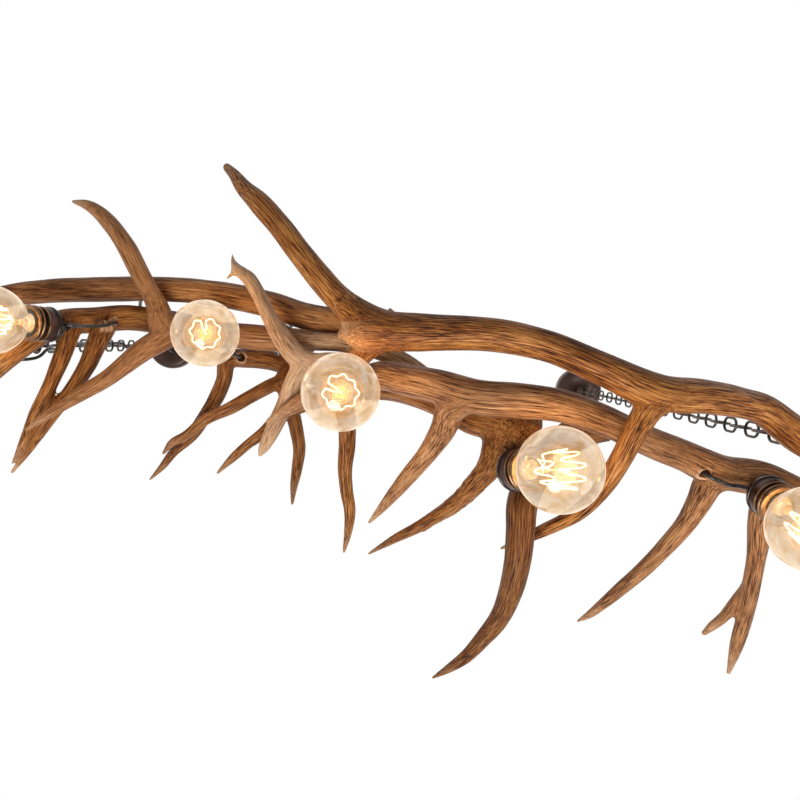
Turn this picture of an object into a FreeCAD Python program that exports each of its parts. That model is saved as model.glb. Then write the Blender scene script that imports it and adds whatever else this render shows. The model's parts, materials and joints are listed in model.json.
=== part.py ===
import FreeCAD, Part
import math
import os

# Antler chandelier: a long row of joined antlers that hangs on two chains from the ceiling.
# Millimetres, +Z up. The origin is the centre of the left ceiling bracket, on the ceiling,
# and +X runs to the right bracket.

V = FreeCAD.Vector

# ---------------------------------------------------------------- driving dimensions
HOOK_SPACING = 1084.0        # between the two ceiling hooks
SEAT_GAP = 0.2               # play between two curved metal parts that hang in each other
FIT_GAP = 0.05               # radial play of a pin in its hole

CANOPY_RADIUS = 60.0
CANOPY_DEPTH = 28.0
CANOPY_WALL = 1.2
CANOPY_EDGE_RADIUS = 12.0

BRACKET_LENGTH = 104.0
BRACKET_WIDTH = 20.0
BRACKET_THICKNESS = 2.5
BRACKET_DROP = 12.0          # ceiling to the lower face of the raised middle
BRACKET_FOOT = 26.0          # length of each foot on the ceiling
SLOT_SPACING = 80.0          # between the two ceiling screw slots
SLOT_WIDTH = 5.0
SLOT_LENGTH = 9.0

SHANK_RADIUS = 5.0
HOOK_WIRE_RADIUS = 2.75
HOOK_RING_RADIUS = 13.25     # to the middle of the wire
NUT_FLATS = 17.0
NUT_HEIGHT = 6.0
COLLAR_RADIUS = 11.0
COLLAR_HEIGHT = 5.0

LINK_WIRE_RADIUS = 2.0
LINK_BEND_RADIUS = 10.5      # to the middle of the wire
LINK_STRAIGHT = 13.0
LEFT_LINKS = 21
RIGHT_LINKS = 28

EYE_WIRE_RADIUS = 3.0
EYE_RING_RADIUS = 10.0
EYE_SHANK_RADIUS = 3.0
EYE_SHANK_LENGTH = 34.0

CABLE_RADIUS = 2.5
CABLE_OFFSET = 5.0           # from the chain's axis, in the corner between two links
CABLE_EXIT = (16.0, 17.0)    # where the cable leaves the left canopy
GROMMET_RADIUS = 5.0
GROMMET_FLANGE = 7.0

TERMINAL_SIZE = (22.0, 14.0, 14.0)

GLOBE_RADIUS = 47.5
GLASS_WALL = 1.0
NECK_RADIUS = 14.6
NECK_START = 38.0            # distances along a lamp count from the globe's centre
NECK_TOP = 54.0
NECK_END = 66.0
CAP_RADIUS = 13.0
CAP_WALL = 2.6
CAP_END = 90.0
STEM_TOP = 26.0
CAGE_RADIUS = 16.0
CAGE_HALF = 20.0
CAGE_POINTS = 18
CAGE_WIRE = 0.7
CAGE_ROD = 1.6

HOLDER_START = 56.0
CUP_START = 73.0
FLANGE_START = 88.5
FLANGE_THICKNESS = 3.0
INSERT_END = 96.0
DOME_END = 110.0
HOLDER_END = 120.0
HOLDER_RADIUS = 25.5
HOLDER_WALL = 1.5
HOLDER_SKIRT = 19.5
COLLAR_NECK_RADIUS = 9.0     # of the short neck between the holder's dome and the antler
RING_RADIUS = 26.5
RING_THICKNESS = 3.6
RING_STEP = 6.0              # from one shade ring to the next
NIPPLE_RADIUS = 5.0
NIPPLE_REACH = 30.0          # how far the nipple goes past the holder's back
LEAD_RADIUS = 2.6
LEAD_ENTRY = 13.0            # the lead enters the holder's dome this far from its axis
LEAD_DEPTH = 17.0            # and this far before the holder's end

SCREW_RADIUS = 3.0
SCREW_HEAD_RADIUS = 5.5
SCREW_HEAD_HEIGHT = 4.0

OVAL = 0.94                  # an antler's narrow width as a share of its wide one

# ---------------------------------------------------------------- heights that follow
WEB_TOP = -BRACKET_DROP + BRACKET_THICKNESS
CANOPY_BOTTOM = -CANOPY_DEPTH
COLLAR_BOTTOM = CANOPY_BOTTOM - COLLAR_HEIGHT
RING_CENTRE = COLLAR_BOTTOM - FIT_GAP - HOOK_WIRE_RADIUS - HOOK_RING_RADIUS
HOOK_PIVOT = RING_CENTRE - HOOK_RING_RADIUS
LINK_REACH = LINK_STRAIGHT / 2 + LINK_BEND_RADIUS
LINK_PITCH = 2 * LINK_REACH - 2 * LINK_WIRE_RADIUS - SEAT_GAP
TOP_LINK_CENTRE = HOOK_PIVOT + HOOK_WIRE_RADIUS + LINK_WIRE_RADIUS + SEAT_GAP - LINK_REACH
CHAIN_PIVOT = TOP_LINK_CENTRE - LINK_REACH

# ---------------------------------------------------------------- antlers
# Each antler is a beam and its tines. A branch is a list of (x, y, z, radius) from its thick
# end to its tip. A tine starts inside the beam that carries it.
ANTLERS = {
    "antler_top_front": {
        "beam": [(1184, 26, -962, 27), (1134, 13, -965, 24.5), (1082, -3, -967, 23),
                 (1021, -34, -975, 21), (983, -40, -988, 20.5), (926, -43, -1012, 22),
                 (856, -43, -1032, 23), (790, -63, -1025, 20), (734, -81, -1005, 20),
                 (676, -88, -985, 22), (618, -86, -965, 23.5), (556, -80, -950, 26.5),
                 (516, -77, -942, 27.5), (494, -72, -938, 20), (486, -70, -936, 9)],
        "upper_tine": [(557, -78, -950, 25), (512, -88, -940, 26), (475, -113, -928, 19),
                       (445, -140, -920, 18), (417, -168, -910, 17), (385, -202, -895, 16),
                       (352, -232, -878, 15.5), (326, -253, -860, 12), (310, -270, -848, 8.5),
                       (294, -284, -835, 4)],
        "lower_tine": [(537, -76, -945, 23), (513, -52, -915, 18), (498, -20, -880, 15),
                       (488, 12, -856, 15.5), (498, 51, -840, 14), (502, 87, -835, 12.5),
                       (503, 124, -832, 11.5), (509, 157, -830, 10), (516, 184, -828, 9),
                       (517, 217, -826, 6.5), (514, 248, -824, 2.5)],
        "front_tine": [(877, -42, -1030, 20), (855, -27, -1032, 18.5), (839, 4, -1034, 15),
                       (829, 39, -1028, 13.5), (818, 79, -1012, 12), (801, 118, -985, 10),
                       (765, 155, -955, 8), (738, 178, -938, 5.5), (723, 189, -930, 2)],
    },
    "antler_middle_front": {
        "beam": [(1181, 114, -950, 28), (1119, 82, -948, 25), (1054, 58, -944, 25),
                 (989, 52, -954, 23.5), (927, 34, -968, 21), (866, 17, -984, 20),
                 (808, -2, -998, 20), (754, -13, -1008, 21), (704, -14, -1014, 22.5),
                 (658, -12, -1002, 23), (614, -17, -958, 23), (578, -19, -915, 22.5),
                 (545, -20, -875, 22), (514, -9, -835, 19), (483, 8, -815, 16),
                 (451, 22, -810, 14.5), (427, 35, -808, 12.5), (404, 53, -806, 10),
                 (383, 69, -804, 5)],
        "third_tine": [(648, -10, -994, 20), (631, 6, -970, 21), (623, 37, -958, 17.5),
                       (608, 70, -950, 13.5), (589, 101, -942, 11.5), (572, 130, -932, 9),
                       (558, 154, -924, 6), (545, 175, -916, 2.5)],
        "second_tine": [(1000, 54, -952, 23), (981, 67, -950, 20), (971, 95, -948, 16.5),
                        (960, 127, -942, 13.5), (939, 167, -934, 12), (918, 202, -926, 11),
                        (897, 231, -918, 9.5), (878, 258, -910, 7.5), (863, 276, -906, 5.5),
                        (849, 289, -902, 2)],
        "brow_tine": [(1089, 64, -948, 22), (1062, 84, -948, 19), (1057, 115, -946, 15.5),
                      (1062, 147, -942, 14), (1065, 179, -938, 13), (1067, 221, -932, 12),
                      (1068, 260, -926, 10.5), (1067, 299, -920, 8.5), (1066, 337, -914, 3)],
        "spur": [(1065, 167, -940, 11.5), (1068, 202, -928, 10), (1060, 231, -920, 9.5),
                 (1048, 258, -914, 7.5), (1034, 276, -910, 6), (1026, 287, -908, 3.5)],
    },
    "antler_pale_forked": {
        "beam": [(482, -31, -813, 15), (462, -27, -808, 16), (437, -24, -800, 16.5),
                 (415, -30, -796, 17.5), (391, -53, -792, 15.5), (366, -84, -785, 12.5),
                 (344, -117, -772, 11.5), (323, -141, -760, 11.5), (304, -153, -750, 9.5),
                 (296, -164, -742, 4), (292, -175, -736, 1.2)],
        "prong": [(315, -150, -755, 8.5), (305, -148, -752, 7), (296, -143, -748, 4.5),
                  (289, -136, -744, 1.5)],
        "lower_tine": [(433, -31, -800, 15), (420, -8, -796, 16.5), (410, 17, -788, 15),
                       (400, 47, -778, 14.5), (388, 78, -772, 13), (379, 102, -769, 11),
                       (372, 119, -767, 7.5), (369, 126, -766, 4)],
    },
    "antler_left_front": {
        "beam": [(428, -56, -688, 19.5), (387, -53, -688, 21.5), (342, -51, -687, 22),
                 (298, -50, -686, 22), (249, -47, -688, 23), (211, -48, -696, 25),
                 (189, -53, -704, 24), (173, -88, -708, 17.5), (154, -116, -706, 15.5),
                 (135, -144, -702, 16), (116, -171, -696, 16), (92, -198, -688, 14.5),
                 (66, -219, -678, 12.5), (39, -233, -668, 9), (11, -238, -658, 3)],
        "lower_tine": [(207, -49, -702, 21), (186, -30, -712, 20), (163, -9, -726, 18),
                       (145, 13, -742, 15.5), (124, 37, -758, 13.5), (101, 57, -774, 11.5),
                       (75, 81, -788, 8.5), (51, 102, -796, 6), (32, 120, -802, 2)],
    },
    "antler_back_long": {
        "beam": [(551, -89, -784, 28), (546, -88, -783, 31.5), (539, -88, -782, 23.5),
                 (501, -86, -770, 22), (462, -89, -754, 22.5), (413, -93, -738, 22.5),
                 (354, -105, -714, 22.5), (285, -113, -692, 22), (215, -115, -674, 21.5),
                 (146, -111, -658, 21.5), (58, -101, -642, 22), (-11, -92, -634, 21.5),
                 (-78, -79, -632, 20), (-133, -61, -634, 17), (-179, -37, -638, 11.5),
                 (-209, -16, -642, 4)],
    },
    "antler_back_left": {
        "beam": [(211, -56, -640, 23), (171, -59, -648, 22.5), (121, -60, -670, 22),
                 (79, -50, -700, 22), (38, -40, -730, 21), (10, -18, -746, 19.5),
                 (-14, 12, -767, 18.5), (-38, 41, -772, 16.5), (-64, 73, -776, 13),
                 (-91, 100, -777, 9), (-117, 124, -774, 3)],
        "second_tine": [(98, -44, -710, 19), (90, -13, -724, 18), (82, 22, -734, 15.5),
                        (63, 62, -742, 14), (42, 99, -748, 12.5), (23, 137, -752, 10),
                        (5, 173, -754, 6), (-8, 196, -754, 2.5)],
        "brow_tine": [(55, -39, -730, 17), (53, -7, -740, 16), (48, 32, -750, 14),
                      (39, 71, -758, 12.5), (28, 102, -762, 11), (15, 136, -764, 8),
                      (4, 163, -764, 5), (-4, 181, -764, 2.5)],
    },
    "antler_left_lower": {
        "beam": [(497, 5, -724, 14.5), (452, 1, -712, 17), (405, -7, -685, 17.5),
                 (354, -15, -661, 17.5), (312, -14, -655, 17.5), (285, -8, -663, 16.5),
                 (282, 25, -666, 14), (273, 57, -670, 13.5), (259, 87, -674, 12),
                 (241, 121, -678, 11), (215, 151, -680, 8.5), (197, 180, -682, 6),
                 (180, 202, -684, 2)],
        "arch_tine": [(397, -7, -688, 14), (385, 7, -699, 14.5), (392, 31, -711, 13.5),
                      (406, 61, -718, 12.5), (417, 92, -722, 11.5), (424, 120, -724, 10.5),
                      (423, 150, -724, 9), (421, 180, -722, 6.5), (421, 210, -720, 2.5)],
        "middle_tine": [(389, 9, -704, 12), (366, 24, -710, 12), (337, 44, -714, 11.5),
                        (305, 67, -716, 11), (269, 89, -716, 9.5), (241, 117, -715, 8),
                        (219, 132, -714, 6.5), (207, 150, -713, 3)],
    },
    "antler_burr_front": {
        "beam": [(730, 41, -964, 31.5), (724, 37, -963, 38), (718, 31, -962, 36.5),
                 (708, 25, -959, 29), (690, 20, -952, 26), (666, 19, -934, 24),
                 (635, 9, -906, 22), (596, 1, -868, 21), (555, -1, -817, 20.5),
                 (514, 7, -788, 19.5), (474, 21, -764, 17.5), (422, 45, -750, 14),
                 (391, 68, -744, 12), (367, 97, -740, 10.5), (344, 118, -737, 8.5),
                 (323, 141, -735, 7), (300, 169, -733, 2.5)],
        "brow_tine": [(698, 24, -956, 24), (695, 50, -962, 21.5), (687, 76, -966, 17),
                      (672, 102, -960, 14), (655, 128, -948, 12), (634, 152, -932, 10.5),
                      (609, 173, -926, 8.5), (584, 191, -920, 6.5), (549, 220, -910, 2)],
    },
    "antler_thick_tine": {
        "beam": [(836, 8, -943, 23.5), (818, 16, -936, 23.5), (793, 36, -924, 23.5),
                 (767, 65, -926, 23), (747, 94, -942, 22), (735, 121, -964, 20.5),
                 (735, 151, -972, 19.5), (736, 189, -974, 18), (733, 230, -970, 16),
                 (726, 272, -958, 13.5), (710, 303, -952, 11), (692, 334, -944, 8.5),
                 (672, 357, -936, 6), (653, 375, -930, 2)],
    },
    "antler_pale_burr": {
        "beam": [(379, -57, -752, 17), (386, -58, -752, 20.5), (393, -58, -753, 14.5),
                 (427, -55, -764, 14.5), (476, -58, -788, 14.5), (528, -54, -812, 14.5),
                 (570, -41, -824, 14.5), (604, -22, -831, 13.5), (639, 7, -850, 11.5),
                 (676, 28, -868, 9), (704, 41, -880, 5.5), (723, 49, -886, 2)],
    },
}

# Two antlers that a long screw joins where they pass closest: (antler, branch, antler, branch).
# A number pair after that keeps the screw to a stretch of the second branch's points.
JOINS = [
    ("antler_middle_front", "beam", "antler_top_front", "lower_tine", (1, 3)),
    ("antler_burr_front", "beam", "antler_middle_front", "beam"),
    ("antler_pale_burr", "beam", "antler_burr_front", "beam"),
    ("antler_pale_burr", "beam", "antler_pale_forked", "beam"),
    ("antler_back_long", "beam", "antler_pale_burr", "beam"),
    ("antler_back_long", "beam", "antler_left_front", "beam"),
    ("antler_back_left", "beam", "antler_left_front", "beam"),
    ("antler_back_long", "beam", "antler_back_left", "beam"),
    ("antler_left_lower", "beam", "antler_left_front", "beam"),
    ("antler_thick_tine", "beam", "antler_middle_front", "beam"),
    ("antler_middle_front", "beam", "antler_top_front", "front_tine"),
    ("antler_left_lower", "arch_tine", "antler_burr_front", "beam"),
]

# ---------------------------------------------------------------- lamps
# globe is the centre of the bulb, toward points from it to the antler that carries the lamp.
# lead is the short cable from the bottom of its drilled hole, past the hole's mouth, to the
# back of the holder, which it enters by itself. hole is the antler that is drilled for it.
LAMPS = {
    "left": {
        "globe": (1, -36, -858), "toward": (0.457, -0.005, 0.889), "carrier": "antler_back_left",
        "lead": [(112, -50, -700), (107.3, -43, -733), (91, -40, -758)],
        "hole": "antler_back_left",
    },
    "back": {
        "globe": (286, -50, -833), "toward": (-0.242, 0.010, 0.970),
        "carrier": "antler_left_front",
        "lead": [(310, -14, -664), (306, -16, -686), (294, -26, -702)],
        "hole": "antler_left_lower",
    },
    "middle": {
        "globe": (492, 0, -996), "toward": (-0.043, 0.075, 0.996),
        "carrier": "antler_top_front",
        "lead": [(452, 22, -804), (450, 22, -832), (452, 20, -856)],
        "hole": "antler_middle_front",
    },
    "front": {
        "globe": (738, 50, -1095), "toward": (-0.298, 0.207, 0.932),
        "carrier": "antler_burr_front",
        "lead": [(692, 44, -962)],
        "hole": "antler_burr_front",
    },
    "right": {
        "globe": (1029, 88, -1088), "toward": (0.0, -0.2, 0.98),
        "carrier": "antler_middle_front",
        "lead": [(951, 46, -956), (957, 56, -988), (985, 64, -988)],
        "hole": "antler_middle_front",
    },
}


def save(node, shape):
    if shape.isValid() is False:
        print("not valid:", node)
    shape.exportStep("parts/" + node + ".step")
    print("%-26s solids %3d volume %12.1f" % (node, len(shape.Solids), shape.Volume))


def cylinder(radius, start, end):
    axis = end - start
    return Part.makeCylinder(radius, axis.Length, start, axis)


def revolved(points):
    """A solid turned about Z from an (r, z) outline."""
    corners = [V(r, 0, z) for r, z in points]
    face = Part.Face(Part.makePolygon(corners + corners[:1]))
    return face.revolve(V(0, 0, 0), V(0, 0, 1), 360)


def along(shape, origin, direction):
    """A copy of a shape made along +Z, stood at origin along direction."""
    turned = shape.copy()
    turned.Placement = FreeCAD.Placement(origin, FreeCAD.Rotation(V(0, 0, 1), direction))
    return turned


def rounded_tube(points, radius, share=0.45):
    """A round cord along straight runs joined by tangent arcs."""
    corners = [V(*p) for p in points]
    edges = []
    last = corners[0]
    radii = []
    for before, corner, after in zip(corners, corners[1:], corners[2:]):
        into = (corner - before).normalize()
        out = (after - corner).normalize()
        reach = share * min((corner - before).Length, (after - corner).Length)
        half = into.getAngle(out) / 2
        radii.append(reach / math.tan(half))
        start = corner - into * reach
        end = corner + out * reach
        middle_way = (out - into).normalize()
        centre_gap = radii[-1] / math.cos(half)
        middle = corner + middle_way * (centre_gap - radii[-1])
        edges.append(Part.LineSegment(last, start).toShape())
        edges.append(Part.Arc(start, middle, end).toShape())
        last = end
    edges.append(Part.LineSegment(last, corners[-1]).toShape())
    path = Part.Wire(edges)
    first = (corners[1] - corners[0]).normalize()
    profile = Part.Wire(Part.Circle(corners[0], first, radius).toShape())
    tube = path.makePipeShell([profile], True, False)
    expected = math.pi * radius ** 2 * path.Length
    print("cord: length %.0f, least bend %.1f, volume ratio %.3f"
          % (path.Length, min(radii), tube.Volume / expected))
    return tube


# ---------------------------------------------------------------- antler forms
def section(centre, along_way, side, radius):
    """An oval ring square to the way the antler grows."""
    other = along_way.cross(side).normalize()
    oval = Part.Ellipse(centre + side * radius, centre + other * radius * OVAL, centre)
    return Part.Wire(oval.toShape())


def branch(points):
    """One beam or tine: a smooth skin through oval rings that keep their turn."""
    centres = [V(*p[:3]) for p in points]
    rings = []
    side = V(0, 0, 1)
    for index, (centre, point) in enumerate(zip(centres, points)):
        before = centres[max(index - 1, 0)]
        after = centres[min(index + 1, len(centres) - 1)]
        way = (after - before).normalize()
        side = (side - way * side.dot(way)).normalize()
        rings.append(section(centre, way, side, point[3]))
    return Part.makeLoft(rings, True, False, False, 3)


def antler(name):
    branches = ANTLERS[name]
    body = branch(branches["beam"])
    tines = [branch(points) for key, points in branches.items() if key != "beam"]
    if tines:
        body = body.fuse(tines)
    solids = sorted(body.Solids, key=lambda solid: solid.Volume)
    return solids[-1]


def samples(points, steps=12):
    """Centres and radii at even steps between the points of a branch."""
    found = []
    for (xa, ya, za, ra), (xb, yb, zb, rb) in zip(points, points[1:]):
        for step in range(steps):
            part = step / steps
            spot = V(xa + (xb - xa) * part, ya + (yb - ya) * part, za + (zb - za) * part)
            found.append((spot, ra + (rb - ra) * part))
    return found


def closest(points_a, points_b):
    """The two centres, with their radii, where two branches pass closest."""
    pairs = [(a, b) for a in samples(points_a) for b in samples(points_b)]
    return min(pairs, key=lambda pair: (pair[0][0] - pair[1][0]).Length - pair[0][1] - pair[1][1])


def joining_screw(join):
    """The screw of one join and the hole that it needs in both antlers."""
    name_a, branch_a, name_b, branch_b = join[:4]
    stretch = ANTLERS[name_b][branch_b]
    if len(join) == 5:
        stretch = stretch[join[4][0]:join[4][1]]
    (spot_a, radius_a), (spot_b, radius_b) = closest(ANTLERS[name_a][branch_a], stretch)
    way = (spot_b - spot_a).normalize()
    head_top = spot_a - way * (radius_a - SCREW_HEAD_HEIGHT)
    head_base = head_top + way * SCREW_HEAD_HEIGHT
    tip = spot_b + way * (radius_b * 0.3)
    head = cylinder(SCREW_HEAD_RADIUS, head_top, head_base)
    screw = head.fuse(cylinder(SCREW_RADIUS, head_base, tip))
    outside = spot_a - way * (radius_a + SCREW_HEAD_RADIUS)
    hole = cylinder(SCREW_HEAD_RADIUS + FIT_GAP, outside, head_base)
    hole = hole.fuse(cylinder(SCREW_RADIUS + FIT_GAP, head_base, tip))
    return screw, hole


# ---------------------------------------------------------------- ceiling parts
def canopy(cable_hole):
    edge = CANOPY_EDGE_RADIUS
    flat = CANOPY_RADIUS - edge
    steps = 6
    outline = [(SHANK_RADIUS + FIT_GAP, CANOPY_BOTTOM)]
    for step in range(steps + 1):
        turn = math.pi / 2 * step / steps
        outline.append((flat + edge * math.sin(turn), CANOPY_BOTTOM + edge - edge * math.cos(turn)))
    outline.append((CANOPY_RADIUS, 0))
    outline.append((CANOPY_RADIUS - CANOPY_WALL, 0))
    inner = edge - CANOPY_WALL
    for step in range(steps, -1, -1):
        turn = math.pi / 2 * step / steps
        outline.append((flat + inner * math.sin(turn), CANOPY_BOTTOM + edge - inner * math.cos(turn)))
    outline.append((SHANK_RADIUS + FIT_GAP, CANOPY_BOTTOM + CANOPY_WALL))
    shell = revolved(outline)
    if cable_hole:
        x, y = CABLE_EXIT
        drill = Part.makeCylinder(GROMMET_RADIUS, CANOPY_DEPTH, V(x, y, CANOPY_BOTTOM - 1))
        shell = shell.cut(drill)
    return shell


def bracket():
    """A strip with two feet on the ceiling and a raised middle that carries the hook."""
    half = BRACKET_LENGTH / 2
    foot = half - BRACKET_FOOT
    thick = BRACKET_THICKNESS
    top = [(-half, 0), (-foot, 0), (-foot + BRACKET_DROP, WEB_TOP), (foot - BRACKET_DROP, WEB_TOP),
           (foot, 0), (half, 0)]
    low = [(x, z - thick) for x, z in reversed(top)]
    corners = [V(x, -BRACKET_WIDTH / 2, z) for x, z in top + low]
    strip = Part.Face(Part.makePolygon(corners + corners[:1])).extrude(V(0, BRACKET_WIDTH, 0))
    hole = Part.makeCylinder(SHANK_RADIUS + FIT_GAP, 3 * BRACKET_DROP, V(0, 0, -2 * BRACKET_DROP))
    strip = strip.cut(hole)
    for side in (-1, 1):
        middle = side * SLOT_SPACING / 2
        reach = (SLOT_LENGTH - SLOT_WIDTH) / 2
        tall = 3 * thick
        slot = Part.makeBox(2 * reach, SLOT_WIDTH, tall, V(middle - reach, -SLOT_WIDTH / 2, -tall / 2))
        for end in (-reach, reach):
            round_end = Part.makeCylinder(SLOT_WIDTH / 2, tall, V(middle + end, 0, -tall / 2))
            slot = slot.fuse(round_end)
        strip = strip.cut(slot)
    return strip


def hook():
    """A threaded shank through bracket and canopy, with a closed ring under it."""
    top = WEB_TOP + NUT_HEIGHT + 1.0
    shank = cylinder(SHANK_RADIUS, V(0, 0, COLLAR_BOTTOM - HOOK_WIRE_RADIUS), V(0, 0, top))
    ring = Part.makeTorus(HOOK_RING_RADIUS, HOOK_WIRE_RADIUS, V(0, 0, RING_CENTRE), V(0, 1, 0))
    return shank.fuse(ring)


def nut(low):
    """A hexagon nut round the shank, its lower face at low."""
    reach = NUT_FLATS / 2 / math.cos(math.pi / 6)
    corners = []
    for side in range(6):
        turn = math.pi / 3 * side
        corners.append(V(reach * math.cos(turn), reach * math.sin(turn), low))
    body = Part.Face(Part.makePolygon(corners + corners[:1])).extrude(V(0, 0, NUT_HEIGHT))
    return body.cut(Part.makeCylinder(SHANK_RADIUS + FIT_GAP, 3 * NUT_HEIGHT, V(0, 0, low - NUT_HEIGHT)))


def collar():
    """The round nut that holds the canopy up."""
    bore = SHANK_RADIUS + FIT_GAP
    slope = COLLAR_HEIGHT / 2
    return revolved([(bore, CANOPY_BOTTOM), (COLLAR_RADIUS, CANOPY_BOTTOM),
                     (COLLAR_RADIUS, CANOPY_BOTTOM - slope), (COLLAR_RADIUS - slope, COLLAR_BOTTOM),
                     (bore, COLLAR_BOTTOM)])


def terminal_block():
    """Supply terminals beside the bracket, over the cable's way out."""
    long, wide, tall = TERMINAL_SIZE
    x, y = CABLE_EXIT
    low = WEB_TOP - BRACKET_THICKNESS - tall / 2
    corner = V(x - long / 2, BRACKET_WIDTH / 2, low)
    block = Part.makeBox(long, wide, tall, corner)
    for number in range(3):
        middle = x - long / 2 + long * (number + 0.5) / 3
        screw_way = Part.makeCylinder(1.6, tall / 2, V(middle, y, low + tall / 2))
        block = block.cut(screw_way)
    return block


def grommet():
    """A rubber ring in the canopy's cable hole, with a flange on both sides."""
    x, y = CABLE_EXIT
    inner = CABLE_RADIUS + FIT_GAP
    top = CANOPY_BOTTOM + CANOPY_WALL
    outline = [(inner, CANOPY_BOTTOM - 1.5), (GROMMET_FLANGE, CANOPY_BOTTOM - 1.5),
               (GROMMET_FLANGE, CANOPY_BOTTOM), (GROMMET_RADIUS, CANOPY_BOTTOM),
               (GROMMET_RADIUS, top), (GROMMET_FLANGE, top),
               (GROMMET_FLANGE, top + 1.5), (inner, top + 1.5)]
    ring = revolved(outline)
    ring.translate(V(x, y, 0))
    return ring


# ---------------------------------------------------------------- chains
def link():
    """One oval link that stands in the XZ plane about the origin."""
    half = LINK_STRAIGHT / 2
    bend = LINK_BEND_RADIUS
    parts = []
    for side in (-1, 1):
        turn_centre = V(0, 0, side * half)
        ring = Part.Wire(Part.Circle(V(bend, 0, side * half), V(0, 0, 1), LINK_WIRE_RADIUS).toShape())
        parts.append(Part.Face(ring).revolve(turn_centre, V(0, 1, 0), -180 * side))
        parts.append(cylinder(LINK_WIRE_RADIUS, V(side * bend, 0, -half), V(side * bend, 0, half)))
    return parts[0].fuse(parts[1:])


def placed_link(centre, turned):
    one = link_form.copy()
    if turned:
        one.rotate(V(0, 0, 0), V(0, 0, 1), 90)
    one.translate(centre)
    return one


def link_centre(x, number):
    first = CHAIN_PIVOT + 2 * LINK_WIRE_RADIUS + SEAT_GAP - LINK_REACH
    return V(x, 0, first - number * LINK_PITCH)


def chain(x, count):
    links = [placed_link(link_centre(x, number), number % 2 == 1) for number in range(count)]
    return Part.makeCompound(links)


def chain_end(x, count):
    """The middle of the wire at the bottom of the last link."""
    return link_centre(x, count - 1) - V(0, 0, LINK_REACH)


def eye_screw(x, count):
    """A ring on a shank, hung square to the last link and screwed into an antler."""
    top = chain_end(x, count).z + LINK_WIRE_RADIUS + EYE_WIRE_RADIUS + SEAT_GAP
    middle = top - EYE_RING_RADIUS
    across = V(1, 0, 0) if count % 2 == 1 else V(0, 1, 0)
    ring = Part.makeTorus(EYE_RING_RADIUS, EYE_WIRE_RADIUS, V(x, 0, middle), across)
    start = V(x, 0, middle - EYE_RING_RADIUS)
    shank = cylinder(EYE_SHANK_RADIUS, start - V(0, 0, EYE_SHANK_LENGTH), start)
    return ring.fuse(shank), start


# ---------------------------------------------------------------- lamps, made along +Z
def glass():
    """Globe, neck and the stem inside that carries the filament."""
    outer = GLOBE_RADIUS
    inner = GLOBE_RADIUS - GLASS_WALL
    shoulder = math.sqrt(outer ** 2 - NECK_START ** 2)
    inner_shoulder = math.sqrt(inner ** 2 - NECK_START ** 2)
    steps = 5
    outside = []
    for step in range(steps + 1):
        part = step / steps
        r = shoulder + (NECK_RADIUS - shoulder) * (1 - (1 - part) ** 2)
        outside.append(V(r, 0, NECK_START + (NECK_TOP - NECK_START) * part))
    inside = [V(point.x - GLASS_WALL, 0, point.z) for point in reversed(outside[1:])]
    inside.append(V(inner_shoulder, 0, NECK_START))
    seat = CAP_RADIUS - CAP_WALL
    bore = CAGE_ROD + FIT_GAP
    stem = [V(seat, 0, NECK_END), V(bore, 0, NECK_END), V(bore, 0, STEM_TOP), V(4, 0, STEM_TOP),
            V(5, 0, NECK_TOP - 4), V(NECK_RADIUS - 3, 0, NECK_TOP + 2)]
    big = Part.Arc(V(0, 0, -outer), V(outer, 0, 0), outside[0]).toShape()
    small = Part.Arc(V(0, 0, -inner), V(inner, 0, 0), inside[-1]).toShape()
    line = Part.makePolygon(outside + stem + inside).Edges
    closing = Part.LineSegment(V(0, 0, -inner), V(0, 0, -outer)).toShape()
    face = Part.Face(Part.Wire(Part.__sortEdges__([big, small, closing] + line)))
    return face.revolve(V(0, 0, 0), V(0, 0, 1), 360)


def cap():
    """The screw cap: a ridged shell with an end contact."""
    inner = CAP_RADIUS - CAP_WALL
    pitch = 3.6
    outline = [(inner, NECK_END), (CAP_RADIUS, NECK_END)]
    for turn in range(4):
        low = NECK_END + 2 + turn * pitch
        outline += [(CAP_RADIUS, low), (CAP_RADIUS - 1.2, low + pitch / 2)]
    outline += [(CAP_RADIUS, NECK_END + 2 + 4 * pitch), (8, CAP_END - 3), (4, CAP_END - 3)]
    outline += [(4, CAP_END), (0, CAP_END), (0, CAP_END - 6), (inner - 3, CAP_END - 6)]
    outline += [(inner, CAP_END - 9)]
    return revolved(outline)


def filament():
    """A zigzag cage of glowing wire round the stem, with its support wire."""
    corners = []
    for number in range(CAGE_POINTS):
        turn = 2 * math.pi * number / CAGE_POINTS * 0.94
        height = CAGE_HALF if number % 2 == 0 else -CAGE_HALF
        corners.append(V(CAGE_RADIUS * math.cos(turn), CAGE_RADIUS * math.sin(turn), height))
    parts = [cylinder(CAGE_WIRE, a, b) for a, b in zip(corners, corners[1:])]
    parts += [Part.makeSphere(CAGE_WIRE, corner) for corner in corners]
    rod = cylinder(CAGE_ROD, V(0, 0, -CAGE_HALF - 2), V(0, 0, NECK_END))
    parts.append(cylinder(CAGE_WIRE, V(0, 0, CAGE_HALF - 2), corners[0]))
    parts.append(cylinder(CAGE_WIRE, V(0, 0, -CAGE_HALF), corners[-1]))
    return rod.fuse(parts)


def holder_shell():
    """The brown metal cup, open to the front."""
    outer = HOLDER_RADIUS
    inner = outer - HOLDER_WALL
    front = CUP_START + HOLDER_WALL
    rim = HOLDER_SKIRT + FIT_GAP
    return revolved([(rim, CUP_START), (outer, CUP_START), (outer, FLANGE_START),
                     (inner, FLANGE_START), (inner, front), (rim, front)])


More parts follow.
